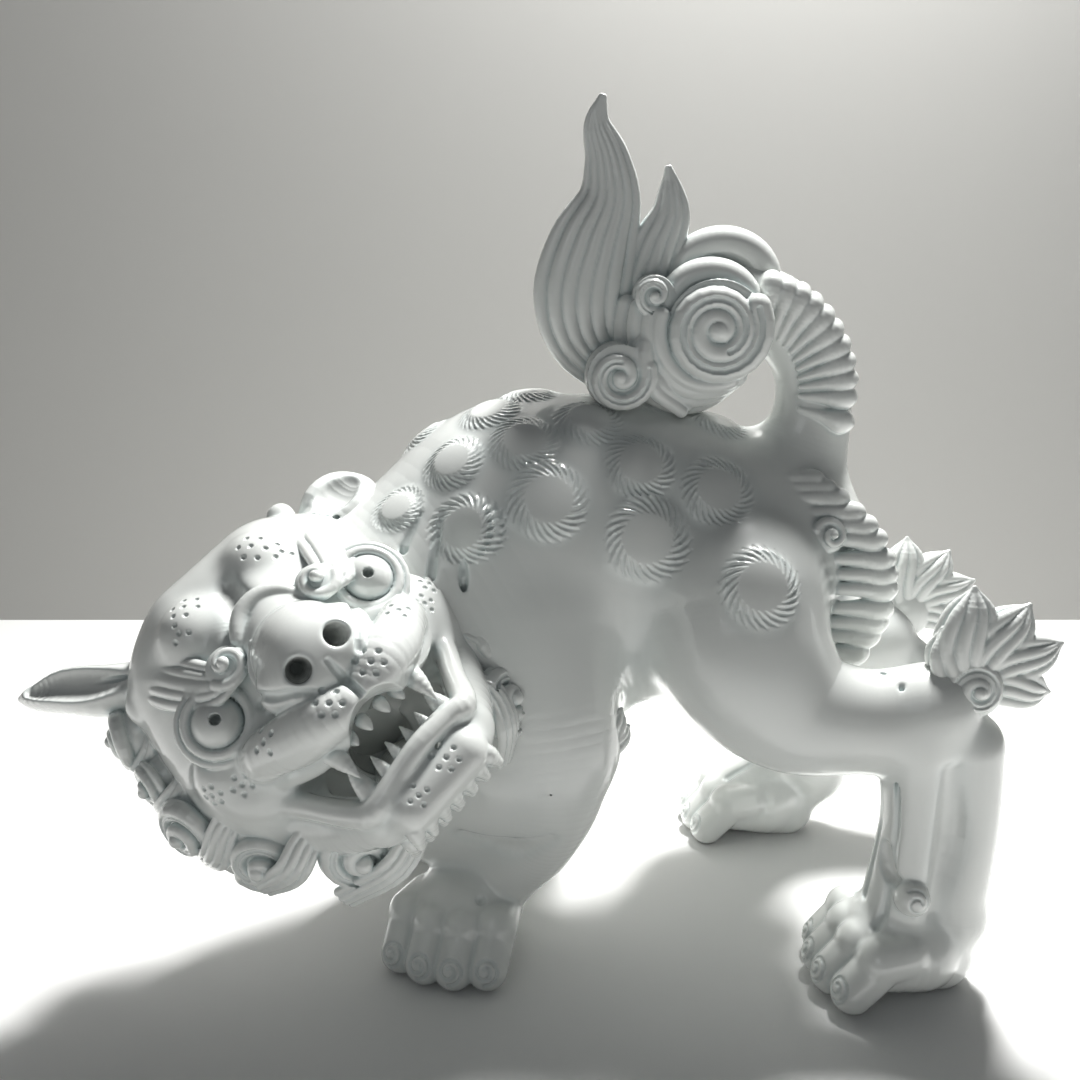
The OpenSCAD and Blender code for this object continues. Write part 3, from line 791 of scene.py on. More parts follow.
def leaf(clay, name, place, lean, reach, half, thick, count=4):
    """A pointed leaf of hair with grooves along it, leaning as it rises."""
    a = math.radians(lean)
    spine = [
        (reach * 0.1 * math.sin(a - 0.5), 0, reach * 0.1 * math.cos(a - 0.5)),
        (reach * 0.4 * math.sin(a - 0.22), 0, reach * 0.4 * math.cos(a - 0.22)),
        (reach * 0.74 * math.sin(a - 0.02), 0, reach * 0.74 * math.cos(a - 0.02)),
        (reach * math.sin(a), 0, reach * math.cos(a)),
    ]
    widths = [half * 1.0, half * 1.25, half * 0.98, 0.5]
    curve, wide = strand(spine, widths, 4)
    clay.form(name, place(curve), wide * 0.75, 1, flat=place.turn((0, 1, 0)), thin=thick)
    bundle(clay, name, place, spine, widths, (0, -1, 0), count, 0.5 * thick + 0.12, 0.6, 1.25, (1, -1), 0.45)


def model_hock_tuft(pitch, side):
    clay = Clay(pitch)
    at = statue_place()
    s = SIDES[side]
    hx, hy, hz = HIND_LEGS[side]["hock"]
    place = Place(at((hx + 4, s * (hy + 3), hz + 18))).mirrored(s)
    ball(clay, side + "_hock_tuft", place, (0, 0, 0), 13, 1, flat=(0, 1, 0), thin=0.7)
    for lean, reach, half in HOCK_FAN:
        leaf(clay, side + "_hock_tuft", place, lean, reach * 25, half * 27, 0.75)
    curl = place.inside((0, -4, -1), (0, -1, 0.1), (-0.4, 0, -1))
    snail(clay, side + "_hock_curl", curl, 13, 2.0, 0.42, -1)
    return clay


def model_elbow_tuft(pitch, side):
    clay = Clay(pitch)
    at = statue_place()
    s = SIDES[side]
    place = Place(at((22, s * 55, 96)), turned("z", -25 * s)).mirrored(s)
    for lean, reach, half in ELBOW_FAN:
        leaf(clay, side + "_elbow_tuft", place, lean, reach * 18, half * 19, 0.6, 3)
    return clay


# ---------- the head ----------
# In the head's own axes +X is its left, -Y is forward and +Z is its crown.

# Mane curls down each side of the face and over the nape: name, position, the way it faces, where its strand
# begins, radius in mm and the hand it winds.
MANE = [
    ("curl_crown_left", (56, 10, 32), (0.8, -0.2, 0.5), (-0.3, -0.6, 0.6), 11, 1),
    ("curl_temple_left", (64, 2, 12), (0.9, -0.4, 0.1), (-0.5, -0.8, 0.2), 10.5, 1),
    ("curl_cheek_left", (66, 2, -12), (0.85, -0.5, -0.15), (-0.5, -0.8, -0.2), 12, -1),
    ("curl_jaw_left", (56, 2, -31), (0.75, -0.55, -0.35), (-0.2, -0.6, -0.5), 14, -1),
    ("curl_throat_left", (40, 2, -51), (0.5, -0.6, -0.6), (-0.1, 0.4, -0.7), 14.5, -1),
    ("curl_crown_right", (-58, 14, 44), (-0.85, -0.1, 0.45), (0, 0.4, -1), 12, 1),
    ("curl_temple_right", (-62, 12, 22), (-0.95, -0.25, 0.1), (0, 0.3, -1), 11, -1),
    ("curl_cheek_right", (-64, 8, 0), (-0.9, -0.4, -0.1), (0, 0.4, -1), 14, 1),
    ("curl_jaw_right", (-54, 5, -27), (-0.7, -0.55, -0.45), (-0.5, 0.6, 0.2), 15, 1),
    ("curl_throat_right", (-31, 0, -51), (-0.35, -0.6, -0.7), (0.9, 0.2, 0), 16, 1),
    ("curl_nape_upper", (0, 36, 56), (0, 0.6, 0.8), (-1, 0, 0), 17, 1),
    ("curl_nape_left", (35, 46, 36), (0.5, 0.8, 0.4), (0, -0.5, 0.8), 17, -1),
    ("curl_nape_right", (-37, 46, 36), (-0.5, 0.8, 0.4), (0, -0.5, 0.8), 17, 1),
    ("curl_nape_lower", (-54, 40, 2), (-0.7, 0.7, 0), (0, 0, 1), 16.5, 1),
]

# Locks that flow between the curls: name, spine points, half widths, the way they face and their strands.
LOCKS = [
    ("curl_crown_left", [(47, 2, 22), (54, 2, 27), (62, 6, 34)], (5, 7, 7), (0.7, -0.6, 0.4), 3),
    ("curl_temple_left", [(48, -6, 6), (56, -6, 9), (66, 2, 14)], (4, 7, 7), (0.7, -0.7, 0.1), 3),
    ("curl_cheek_left", [(47, -10, -6), (58, -8, -9), (68, 0, -14)], (4, 8, 8), (0.7, -0.7, 0), 4),
    ("curl_jaw_left", [(46, -8, -16), (52, -10, -26), (56, -4, -36), (58, 8, -44)], (3, 7, 9, 6),
        (0.8, -0.6, -0.2), 4),
    ("curl_throat_left", [(34, -10, -40), (40, -12, -50), (36, -6, -62), (28, 6, -68)], (3, 7, 8, 6),
     (0.5, -0.7, -0.5), 4),
    ("curl_throat_right", [(0, -12, -56), (-12, -12, -64), (-28, -6, -68), (-46, 6, -60)], (5, 7, 8, 7),
     (-0.2, -0.7, -0.7), 4),
    ("curl_jaw_right", [(-32, -10, -44), (-42, -12, -40), (-54, -6, -42), (-64, 6, -36)], (4, 7, 8, 6),
     (-0.6, -0.6, -0.5), 4),
    ("curl_cheek_right", [(-50, -10, -16), (-58, -8, -14), (-68, 2, -16), (-72, 14, -12)], (4, 7, 8, 6),
     (-0.8, -0.5, -0.3), 4),
    ("curl_temple_right", [(-54, -2, 12), (-62, 0, 10), (-70, 10, 12), (-72, 22, 16)], (4, 6, 7, 6),
     (-0.9, -0.3, 0), 3),
    ("curl_crown_right", [(-50, 4, 40), (-58, 6, 34), (-67, 14, 34)], (4, 6, 7), (-0.9, -0.3, 0.2), 3),
    ("curl_nape_upper", [(-6, 20, 62), (12, 30, 63), (26, 42, 54), (34, 56, 40)], (6, 9, 10, 7),
        (0.1, 0.5, 0.8), 4),
    ("curl_nape_left", [(30, 26, 56), (46, 34, 42), (54, 46, 22), (52, 56, 2)], (6, 9, 10, 7),
        (0.7, 0.6, 0.4), 4),
    ("curl_nape_right", [(-18, 24, 62), (-34, 34, 54), (-50, 46, 34), (-54, 56, 14)], (6, 9, 10, 7),
     (-0.5, 0.6, 0.6), 4),
    ("curl_nape_lower", [(-60, 24, 26), (-68, 34, 12), (-66, 44, -10), (-56, 50, -26)], (5, 8, 10, 7),
     (-0.9, 0.4, 0.1), 4),
]


def model_skull(clay, head):
    tube(clay, "skull", head, [(0, 8, 14), (0, 16, 2)], [50, 48], 0)
    tube(clay, "skull", head, [(-15, -10, 46), (15, -10, 46)], 18, 16)
    for s in HANDS.values():
        tube(clay, "skull", head, [(24 * s, 4, 34), (28 * s, 8, 0)], [30, 33], 16)
        tube(clay, "skull", head, [(38 * s, -8, -8), (36 * s, 4, -22)], [18, 18], 14)
        tube(clay, "skull", head, [(27 * s, -22, -6), (33 * s, -12, -14)], [15, 16], 12)
    # Forehead bumps either side of a shallow valley, and the bridge of the nose.
    tube(clay, "skull", head, [(14, -23, 42), (21, -12, 46)], [13.5, 14], 7)
    tube(clay, "skull", head, [(-19, -25, 37), (-24, -12, 42)], [14, 14], 7)
    tube(clay, "skull", head, [(0, -26, 16), (0, -34, 0)], [19, 19], 10)
    crease(clay, "skull", head, [(-1, -90, 40), (-4, -90, 30), (-10, -90, 24)], [3, 5, 3], (0, 1, 0), 8)


def model_muzzle(clay, head):
    tube(clay, "nose", head, [(0, -43, -2), (0, -50, -9)], [18, 17], 3.5)
    for s in HANDS.values():
        tube(clay, "nose", head, [(6.5 * s, -54, -12), (12 * s, -49, -8)], [11.5, 10.5], 5)
    # Folds of skin over the bridge.
    tube(clay, "nose", head, [(-15, -38, 12), (-12, -42, 19), (-5, -42, 25), (3, -42, 26), (10, -42, 22),
        (15, -42, 13)],
         [1.2, 2.6, 3.3, 3.3, 2.6, 1.2], 1.6)
    tube(clay, "nose", head, [(-16, -46, -12), (-18, -46, -3), (-16, -45, 6), (-10, -47, 13)],
        [0.8, 1.8, 1.8, 0.8], 1.4)
    for s in HANDS.values():
        name = ("left" if s > 0 else "right") + "_lip_pad"
        tube(clay, name, head, [(5 * s, -56, -29), (13 * s, -54, -26), (22 * s, -47, -22),
            (31 * s, -38, -16)],
             [7, 9, 9.5, 8.2], 1.6)
        ball(clay, name, head, (33 * s, -32, -14), 8, 5)
        crease(clay, "nose", head, [(22 * s, -80, -2), (19 * s, -80, -10), (10 * s, -80, -20)], [1.2, 1.8, 1],
               (0, 1, 0), 2.5)
    crease(clay, "nose", head, [(0, -90, -17), (0, -90, -24), (0, -90, -32)], [0.8, 1.4, 1], (0, 1, 0), 2)
    for s in HANDS.values():
        tube(clay, "nose", head, [(8.5 * s, -71, -14), (8 * s, -61, -11), (6.5 * s, -50, -6)], [4.6, 3.9, 2],
            2.4, cut=True)
    # The upper lip's rolled edge, from corner to corner over the open mouth.
    tube(clay, "skull", head, [
        (-43, -8, -12), (-37, -18, -17), (-29, -30, -26), (-20, -40, -32), (-8, -49, -34), (2, -51, -34),
        (12, -48, -33), (26, -36, -28), (36, -22, -19), (44, -10, -11)
    ], [4.2, 3.8, 3.4, 3.2, 3, 3, 3.2, 3.5, 4, 4.2], 6)


def model_mouth(clay, head):
    tube(clay, "skull", head, [(0, -66, -50), (0, -34, -44)], [17, 15], 1, cut=True)
    tube(clay, "skull", head, [(-17, -24, -42), (17, -24, -42)], [15, 15], 1, cut=True)
    tube(clay, "skull", head, [(0, -34, -44), (0, -6, -32)], [14, 12], 1, cut=True)
    # The jaw is a bowl under a thick rolled lip, squared off between two corners.
    for s in HANDS.values():
        tube(clay, "lower_jaw", head, [(36 * s, 0, -26), (28 * s, -10, -42), (20 * s, -24, -54)],
            [15, 13, 11], 5)
    tube(clay, "lower_jaw", head, [(-16, -26, -57), (16, -26, -57)], [10, 10], 6)
    tube(clay, "lower_jaw", head, [(-12, -33, -62), (12, -33, -62)], [9, 9], 6)
    tube(clay, "lower_jaw", head, [(-11, -20, -38), (-8, -36, -46)], [15, 11], 2, cut=True)
    tube(clay, "lower_jaw", head, [(11, -20, -38), (8, -36, -46)], [15, 11], 2, cut=True)
    lip = [
        (-43, -9, -13), (-39, -16, -24), (-34, -22, -34), (-28, -31, -47), (-22, -37, -54.5), (-9, -40, -53),
        (4, -42, -51.5), (16, -40, -51), (24, -37, -51.5), (30, -29, -41), (36, -22, -31), (41, -16, -21),
        (44, -11, -12)
    ]
    tube(clay, "lower_jaw", head, lip, [4.2, 4.2, 4.2, 4.2, 4.4, 3.8, 3.8, 3.8, 4.4, 4.2, 4.2, 4.2, 4.2], 5)
    tube(clay, "tongue", head, [(0, 2, -38), (0, -12, -45), (0, -24, -50), (0, -33, -54)], [10, 12, 11, 6],
        0.6,
         flat=(0, -0.3, 1), thin=0.42)
    clay_line = [(0, -6, -36), (0, -20, -43), (0, -33, -49)]
    tube(clay, "tongue", head, clay_line, 1.2, 1.5, cut=True)


def tooth(clay, name, place, root, tip, size):
    root, tip = np.asarray(root, float), np.asarray(tip, float)
    bend = (root + tip) / 2 + (0, -0.08 * np.linalg.norm(tip - root), 0)
    tube(clay, name, place, [root, bend, tip], [size, size * 0.68, 0.3], 0.5)


def model_teeth(clay, head):
    for s in HANDS.values():
        tooth(clay, "upper_teeth", head, (18 * s, -42, -29), (17.5 * s, -45, -46), 4.6)
        for k in (4, 10.5):
            tooth(clay, "upper_teeth", head, (k * s, -46 + 0.2 * k, -33), (k * s, -47 + 0.2 * k, -38), 2.6)
        tooth(clay, "lower_teeth", head, (18.5 * s, -36, -52), (17.5 * s, -38, -38), 4.4)
        for k in (3.4, 10):
            tooth(clay, "lower_teeth", head, (k * s, -38.5, -52), (k * s, -40, -42), 2.9)


def model_eyes(clay, head):
    for hand, s in HANDS.items():
        middle = np.array([35 * s, -31, 6])
        look = unit((0.05 * s, -0.97, -0.12))
        orbit = head.inside(middle, look, (s, 0, 0.1))
        ball(clay, "skull", head, middle + look * 9, 11.5, 4, cut=True)
        for r, size, lift in ((11.0, 1.9, 3.6), (13.9, 1.5, 1.4)):
            angles = np.radians(np.linspace(0, 360, 25))
            ring = [(r * math.cos(a), r * math.sin(a), lift - 1.5 * math.cos(a)) for a in angles]
            clay.form("skull", orbit(ring), size, 1.1)
        ball(clay, hand + "_eye", head, middle, 9.6, 0.4)
        tube(clay, hand + "_eye", head, [middle + look * 12, middle + look * 5], [2.0, 1.8], 0.4, cut=True)


def model_brow(clay, head, hand):
    s = HANDS[hand]
    name = hand + "_brow"
    spine = [(21 * s, -42, 10), (28 * s, -38, 14), (33 * s, -29, 25), (37 * s, -19, 37), (44 * s, -7, 50)]
    curve, wide = strand(spine, [3, 6, 7, 7, 2.5], 4)
    clay.form(name, head(curve), wide * 0.7, 3)
    bundle(clay, name, head, spine, [3, 7.5, 9, 9, 2.5], (0.45 * s, -0.8, 0.25), 5, 0.3, 0.5, 1.25, (1,), 1.2)
    spot = head.inside((20.5 * s, -42, 14.5), (0.1 * s, -1, 0.1), (s, 0, -0.3))
    snail(clay, name, spot, 9, 1.3, 0.5, -s, line=False, bead=1.5)


def model_ears(clay, head):
    tube(clay, "left_ear", head, [(38, 6, 44), (50, 4, 47), (60, 5, 49), (67, 8, 50)], [10, 12.5, 13, 9], 4)
    tube(clay, "left_ear", head, [(50, -14, 51), (58, -10, 53), (66, -8, 54)], [6, 9, 7], 2.5, cut=True)
    for k in range(5):
        tube(clay, "left_ear", head, [(42, -8 + 0.5 * k, 52 - 2.2 * k), (49, -8, 55 - 3 * k),
            (56, -4, 57 - 3.4 * k)],
             [0.5, 1.2, 0.4], 1, cut=True)
    ridge = [(40, 2, 54), (52, -2, 60), (64, 2, 61), (72, 6, 54), (69, 2, 43), (58, -4, 38), (46, -4, 38)]
    tube(clay, "left_ear", head, ridge, [2, 2.8, 3, 3.2, 3.2, 2.8, 2], 2)
    right = [(-38, 10, 50), (-52, 12, 62), (-62, 14, 74), (-71, 19, 83), (-77, 25, 91)]
    tube(clay, "right_ear", head, right, [12, 13, 11.5, 7.5, 2.5], 5, flat=(0.7, 0, 0.7), thin=0.75)
    tube(clay, "right_ear", head, [(-48, -4, 58), (-58, 0, 69), (-67, 6, 80), (-73, 15, 87)],
        [5, 7.5, 6, 2.5], 3, cut=True)
    for k in (-1, 0, 1):
        tube(clay, "right_ear", head, [(-42 + 2 * k, 0, 54 - 2 * k), (-52 + 3 * k, 3, 64 - 3 * k),
                                       (-61 + 3 * k, 7, 73 - 3 * k)], [0.5, 1.1, 0.4], 1, cut=True)


def model_cheeks(clay, head):
    """Small pads of skin that carry the pores."""
    ball(clay, "skull", head, (45, -14, -8), 9.5, 5)
    ball(clay, "skull", head, (44, -14, 15), 10, 6)
    ball(clay, "skull", head, (-44, -18, -4), 11, 8)
    ball(clay, "skull", head, (-43, -14, -16), 10, 8)
    ball(clay, "skull", head, (-47, -2, 42), 7.5, 4)
    ball(clay, "skull", head, (37, -6, 60), 5.5, 3)
    for s in HANDS.values():
        pores(clay, "skull", head, (9 * s, -62, -26), (0.1 * s, -1, -0.35), 4.2, 1.15)
        pores(clay, "skull", head, (28 * s, -46, -16), (0.5 * s, -0.85, 0), 4.4, 1.15, 4)
        pores(clay, "skull", head, (16 * s, -38, 46), (0.15 * s, -0.8, 0.6), 4.8, 0.95)
        pores(clay, "skull", head, (22 * s, -34, 36), (0.3 * s, -0.95, 0.3), 3.4, 0.95, 3)
        pores(clay, "skull", head, (51 * s, -22, -8), (0.75 * s, -0.65, 0), 3.6, 1.0)
        pores(clay, "skull", head, (50 * s, -22, 15), (0.75 * s, -0.65, 0), 3, 0.9, 4)
        pores(clay, "skull", head, (44 * s, -28, -14), (0.6 * s, -0.8, -0.2), 3.4, 0.95, 5)
    pores(clay, "lower_jaw", head, (6, -44, -62), (0.1, -0.9, -0.45), 4, 1.0)
    pores(clay, "lower_jaw", head, (-9, -42, -63), (-0.2, -0.9, -0.45), 3.2, 0.9, 4)


def model_beard(clay, head):
    for k in np.linspace(-1, 1, 7):
        x = 17 * k
        tube(clay, "chin_beard", head, [(x * 0.9, -34, -62), (x, -33, -68), (x * 1.1, -28, -72)],
            [2, 3.2, 1.8], 1)
        tube(clay, "chin_beard", head, [(x, -22, -62), (x * 1.1, -22, -67), (x * 1.2, -16, -70)],
            [4, 3.8, 2], 1)


def model_mane(clay, head):
    for name, spine, widths, facing, count in LOCKS:
        sunk = np.asarray(spine, float) - unit(facing) * 3.5
        bundle(clay, name, head, sunk, np.array(widths) * 0.72, facing, count, 0.45, 0.7, 1.25, (1,), 1.0)
    for name, at, facing, start, r, hand in MANE:
        ball(clay, name, head, np.asarray(at, float) - unit(facing) * r * 0.35, r * 0.9, 2)
        curl = head.inside(np.asarray(at, float) + unit(facing) * 2.5, facing, start)
        snail(clay, name, curl, r * 1.08, 1.9, 0.42, hand)


def model_head(pitch):
    clay = Clay(pitch)
    head = head_place()
    model_skull(clay, head)
    model_muzzle(clay, head)
    model_mouth(clay, head)
    model_cheeks(clay, head)
    model_eyes(clay, head)
    for hand in HANDS:
        model_brow(clay, head, hand)
    model_ears(clay, head)
    model_teeth(clay, head)
    model_beard(clay, head)
    model_mane(clay, head)
    return clay


# ---------- from clay to pieces ----------


def piece_from(name, points, quads, normals, hollow):
    """One piece of the cast skin with the clay's own normals, so that pieces meet without a seam."""
    used, local = np.unique(quads, return_inverse=True)
    mesh = bpy.data.meshes.new(name)
    mesh.from_pydata((points[used] * 0.001).tolist(), [], local.reshape(-1, 4).tolist())
    # Each point's hollowness, which the glaze reads to paint shade into the grooves.
    depth = mesh.attributes.new("painted_hollow_shade", "FLOAT", "POINT")
    depth.data.foreach_set("value", hollow[used].astype(np.float32))
    mesh.shade_smooth()
    mesh.normals_split_custom_set_from_vertices(normals[used].tolist())
    piece = bpy.data.objects.new(name, mesh)
    bpy.context.scene.collection.objects.link(piece)
    return piece


def make_pieces(clay, material, nodes):
    """Meshes a region and gives each CAD node that it covers its own piece."""
    points, quads, normals, hollow, labels = clay.mesh()
    face_labels = labels[quads[:, 0]]
    for i, name in enumerate(clay.names):
        mine = quads[face_labels == i]
        if name not in nodes or len(mine) == 0:
            raise RuntimeError(f"the clay of {name} has no surface or no CAD node")
        piece = piece_from("glazed_" + name, points, mine, normals, hollow)
        piece.data.materials.append(material)
        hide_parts(name)
        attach(piece, BODY)


def sculpt_pitch(millimetres):
    return millimetres * 1


# ---------- materials ----------


class Wire:
    """A shader socket that takes part in Python arithmetic by adding Math nodes."""

    def __init__(self, tree, socket):
        self.tree = tree
        self.socket = socket

    def math(self, operation, *others):
        node = self.tree.nodes.new("ShaderNodeMath")
        node.operation = operation
        self.tree.links.new(self.socket, node.inputs[0])
        for i, other in enumerate(others, 1):
            plug(self.tree, node.inputs[i], other)
        return Wire(self.tree, node.outputs[0])

    def __add__(self, other):
        return self.math("ADD", other)

    def __mul__(self, other):
        return self.math("MULTIPLY", other)

    __radd__ = __add__
    __rmul__ = __mul__

    def __sub__(self, other):
        return self.math("SUBTRACT", other)

    def __rsub__(self, other):
        return self * -1 + other

    def clamped(self):
        return self.math("MINIMUM", 1.0).math("MAXIMUM", 0.0)


def plug(tree, socket, value):
    """Links a wire to a socket, or sets the socket's own value."""
    if isinstance(value, Wire):
        tree.links.new(value.socket, socket)
    else:
        socket.default_value = value


class Shader:
    """Nodes of one material, made by type, settings and socket values."""

    def __init__(self, name):
        self.material = bpy.data.materials.new(name)
        self.material.use_nodes = True
        self.tree = self.material.node_tree
        self.tree.nodes.clear()

    def node(self, kind, output=0, settings=None, **sockets):
        made = self.tree.nodes.new("ShaderNode" + kind)
        for key, value in (settings or {}).items():
            setattr(made, key, value)
        for key, value in sockets.items():
            plug(self.tree, made.inputs[key.replace("_", " ")], value)
        return Wire(self.tree, made.outputs[output])

    def mix(self, share, first, second):
        made = self.tree.nodes.new("ShaderNodeMix")
        made.data_type = "RGBA"
        colours = [socket for socket in made.inputs if socket.type == "RGBA"]
        plug(self.tree, made.inputs[0], share)
        plug(self.tree, colours[0], first)
        plug(self.tree, colours[1], second)
        result = [socket for socket in made.outputs if socket.type == "RGBA"][0]
        return Wire(self.tree, result)


def porcelain(settings):
    """White porcelain under a clear glaze, with shade painted into the grooves and hollows as a darker,
    slightly bluer colour.
    """
    glaze = Shader("glazed porcelain")
    spot = glaze.node("TexCoord", "Object")
    cloud = glaze.node("TexNoise", "Fac", Vector=spot, Scale=14.0, Detail=3.0)
    specks = glaze.node("TexNoise", "Fac", Vector=spot, Scale=420.0, Detail=2.0)
    ripple = glaze.node("TexNoise", "Fac", Vector=spot, Scale=75.0, Detail=1.0)
    # How hollow the clay is at each point: it drives the shade painted into the grooves.
    hollow_shade_mask = glaze.node("Attribute", "Fac", {"attribute_name": "painted_hollow_shade"})
    white = (*settings.glaze_colour, 1.0)
    # The darker, bluer colour that is painted into the grooves as shade.
    deep = (*settings.hollow_shade_colour, 1.0)
    warm = (settings.glaze_colour[0] * 1.01, settings.glaze_colour[1] * 0.995,
        settings.glaze_colour[2] * 0.975, 1.0)
    base = glaze.mix(cloud, white, warm)
    # Painted shade: the colour is mixed towards the darker shade colour where the clay is hollow.
    base = glaze.mix((hollow_shade_mask * settings.hollow_shading).clamped(), base, deep)
    uneven = ((specks - 0.5) * 0.05 + (cloud - 0.5) * 0.05) + settings.roughness
    bump = glaze.node("Bump", "Normal", Height=ripple, Strength=settings.ripple, Distance=0.0005)
    shader = glaze.node(
        "BsdfPrincipled", 0, None, Base_Color=base, Roughness=uneven, Normal=bump, IOR=1.5,
        Coat_Weight=settings.coat, Coat_Roughness=0.025, Coat_IOR=1.5
    )
    end = glaze.tree.nodes.new("ShaderNodeOutputMaterial")
    plug(glaze.tree, end.inputs["Surface"], shader)
    return glaze.material


def plain_paint(name, colour, roughness):
    """A matt studio surface with a faint mottle."""
    paint = Shader(name)
    spot = paint.node("TexCoord", "Object")
    cloud = paint.node("TexNoise", "Fac", Vector=spot, Scale=3.0, Detail=2.0)
    shade = tuple(c * 0.985 for c in colour)
    shader = paint.node("BsdfPrincipled", 0, None, Base_Color=paint.mix(cloud, (*colour, 1.0), (*shade, 1.0)),
                        Roughness=roughness)
    end = paint.tree.nodes.new("ShaderNodeOutputMaterial")
    plug(paint.tree, end.inputs["Surface"], shader)
    return paint.material


# ---------- settings ----------


class LionClaySettings(bpy.types.PropertyGroup):
    """How finely each region of the statue is meshed."""

    body_pitch: FloatProperty(
        name="Body grid", description="Pitch of the grid that meshes the body, in millimetres",
        default=0.75, min=0.5, max=4.0,
    )
    tail_pitch: FloatProperty(
        name="Tail grid", description="Pitch of the grid that meshes the tail and the tufts, in millimetres",
        default=0.7, min=0.4, max=4.0,
    )
    head_pitch: FloatProperty(
        name="Head grid", description="Pitch of the grid that meshes the head and the mane, in millimetres",
        default=0.6, min=0.4, max=4.0,
    )


class LionGlazeSettings(bpy.types.PropertyGroup):
    """Colour and finish of the glazed porcelain."""

    glaze_colour: FloatVectorProperty(
        name="Glaze", description="Colour of the glazed porcelain", subtype="COLOR", size=3,
        default=(0.80, 0.825, 0.81), min=0.0, max=1.0,
    )
    # The darker, bluer colour that is painted into the grooves as shade.
    hollow_shade_colour: FloatVectorProperty(
        name="Painted hollow shade", description="Colour of the glaze where it pools in the grooves", subtype="COLOR",
        size=3, default=(0.60, 0.67, 0.665), min=0.0, max=1.0,
    )
    # How strongly shade is painted into the grooves.
    hollow_shading: FloatProperty(
        name="Hollow shading", description="How strongly the glaze deepens in the grooves", default=0.9, min=0.0,
        max=2.0,
        subtype="FACTOR",
    )
    roughness: FloatProperty(
        name="Roughness", description="Roughness under the glaze's clear surface", default=0.3, min=0.0,
        max=1.0,
        subtype="FACTOR",
    )
    coat: FloatProperty(
        name="Clear glaze", description="Weight of the glaze's clear surface", default=1.0, min=0.0, max=1.0,
        subtype="FACTOR",
    )
    ripple: FloatProperty(
        name="Ripple", description="Strength of the glaze's soft unevenness", default=0.12, min=0.0, max=1.0,
        subtype="FACTOR",
    )


class LionStageSettings(bpy.types.PropertyGroup):
    """The floor, the backdrop, the lights and the camera."""

    floor_colour: FloatVectorProperty(
        name="Floor", description="Colour of the floor", subtype="COLOR", size=3, default=(0.86, 0.86, 0.85),
        min=0.0, max=1.0,
    )
    wall_colour: FloatVectorProperty(
        name="Backdrop", description="Colour of the backdrop", subtype="COLOR", size=3,
        default=(0.44, 0.435, 0.42),
        min=0.0, max=1.0,
    )
    wall_distance: FloatProperty(
        name="Backdrop distance", description="From the statue's middle plane to the backdrop", default=0.413,
        min=0.2, max=3.0, unit="LENGTH", subtype="DISTANCE",
    )
    camera_distance: FloatProperty(
        name="Camera distance", description="From the statue's middle plane to the camera", default=0.462,
        min=0.2, max=3.0, unit="LENGTH", subtype="DISTANCE",
    )
    camera_height: FloatProperty(
        name="Camera height", description="Of the camera above the floor", default=0.285, min=0.0, max=2.0,
        unit="LENGTH", subtype="DISTANCE",
    )
    camera_pitch: FloatProperty(
        name="Camera pitch", description="How far the camera looks down", default=math.radians(14), min=0.0,
        max=math.radians(90), subtype="ANGLE",
    )
    lens: FloatProperty(
        name="Lens", description="Focal length of the camera on a 36 mm sensor, in millimetres",
        default=37.73,
        min=15.0, max=200.0,
    )


# ---------- operators ----------


def glaze_material():
    """The one porcelain material, made the first time that it is needed."""
    found = bpy.data.materials.get("glazed porcelain")
    return found or porcelain(bpy.context.scene.lion_glaze)


class LION_OT_body(bpy.types.Operator):
    """Models the torso, neck, legs, paws, spurs, fringes and tail stem"""

    bl_idname = "lion.body"
    bl_label = "Body"

    def execute(self, context):
        clay = model_body(sculpt_pitch(context.scene.lion_clay.body_pitch))
        make_pieces(clay, glaze_material(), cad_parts)
        return {"FINISHED"}


class LION_OT_head(bpy.types.Operator):
    """Models the head, its face, mouth, teeth, ears and mane curls"""

    bl_idname = "lion.head"
    bl_label = "Head and mane"

    def execute(self, context):
        clay = model_head(sculpt_pitch(context.scene.lion_clay.head_pitch))
        make_pieces(clay, glaze_material(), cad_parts)
        return {"FINISHED"}


class LION_OT_tail(bpy.types.Operator):
    """Models the tail's scrolls, rolls and flames"""

    bl_idname = "lion.tail"
    bl_label = "Tail scrolls and flames"

    def execute(self, context):
        clay = model_tail(sculpt_pitch(context.scene.lion_clay.tail_pitch))
        make_pieces(clay, glaze_material(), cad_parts)
        return {"FINISHED"}


class LION_OT_tufts(bpy.types.Operator):
    """Models the hair tufts at the elbows and the hocks"""

    bl_idname = "lion.tufts"
    bl_label = "Hair tufts"

    def execute(self, context):
        pitch = sculpt_pitch(context.scene.lion_clay.tail_pitch)
        for side in SIDES:
            make_pieces(model_hock_tuft(pitch, side), glaze_material(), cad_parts)
            make_pieces(model_elbow_tuft(pitch, side), glaze_material(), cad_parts)
        return {"FINISHED"}


def sheet_mesh(name, rows):
    """A sheet from rows of points, one row for each line across it."""
    count = len(rows[0])
    faces = [
        (r * count + c, r * count + c + 1, (r + 1) * count + c + 1, (r + 1) * count + c)
        for r in range(len(rows) - 1) for c in range(count - 1)
    ]
    mesh = bpy.data.meshes.new(name)
    mesh.from_pydata([p for row in rows for p in row], [], faces)
    mesh.shade_smooth()
    sheet = bpy.data.objects.new(name, mesh)
    bpy.context.scene.collection.objects.link(sheet)
    return sheet


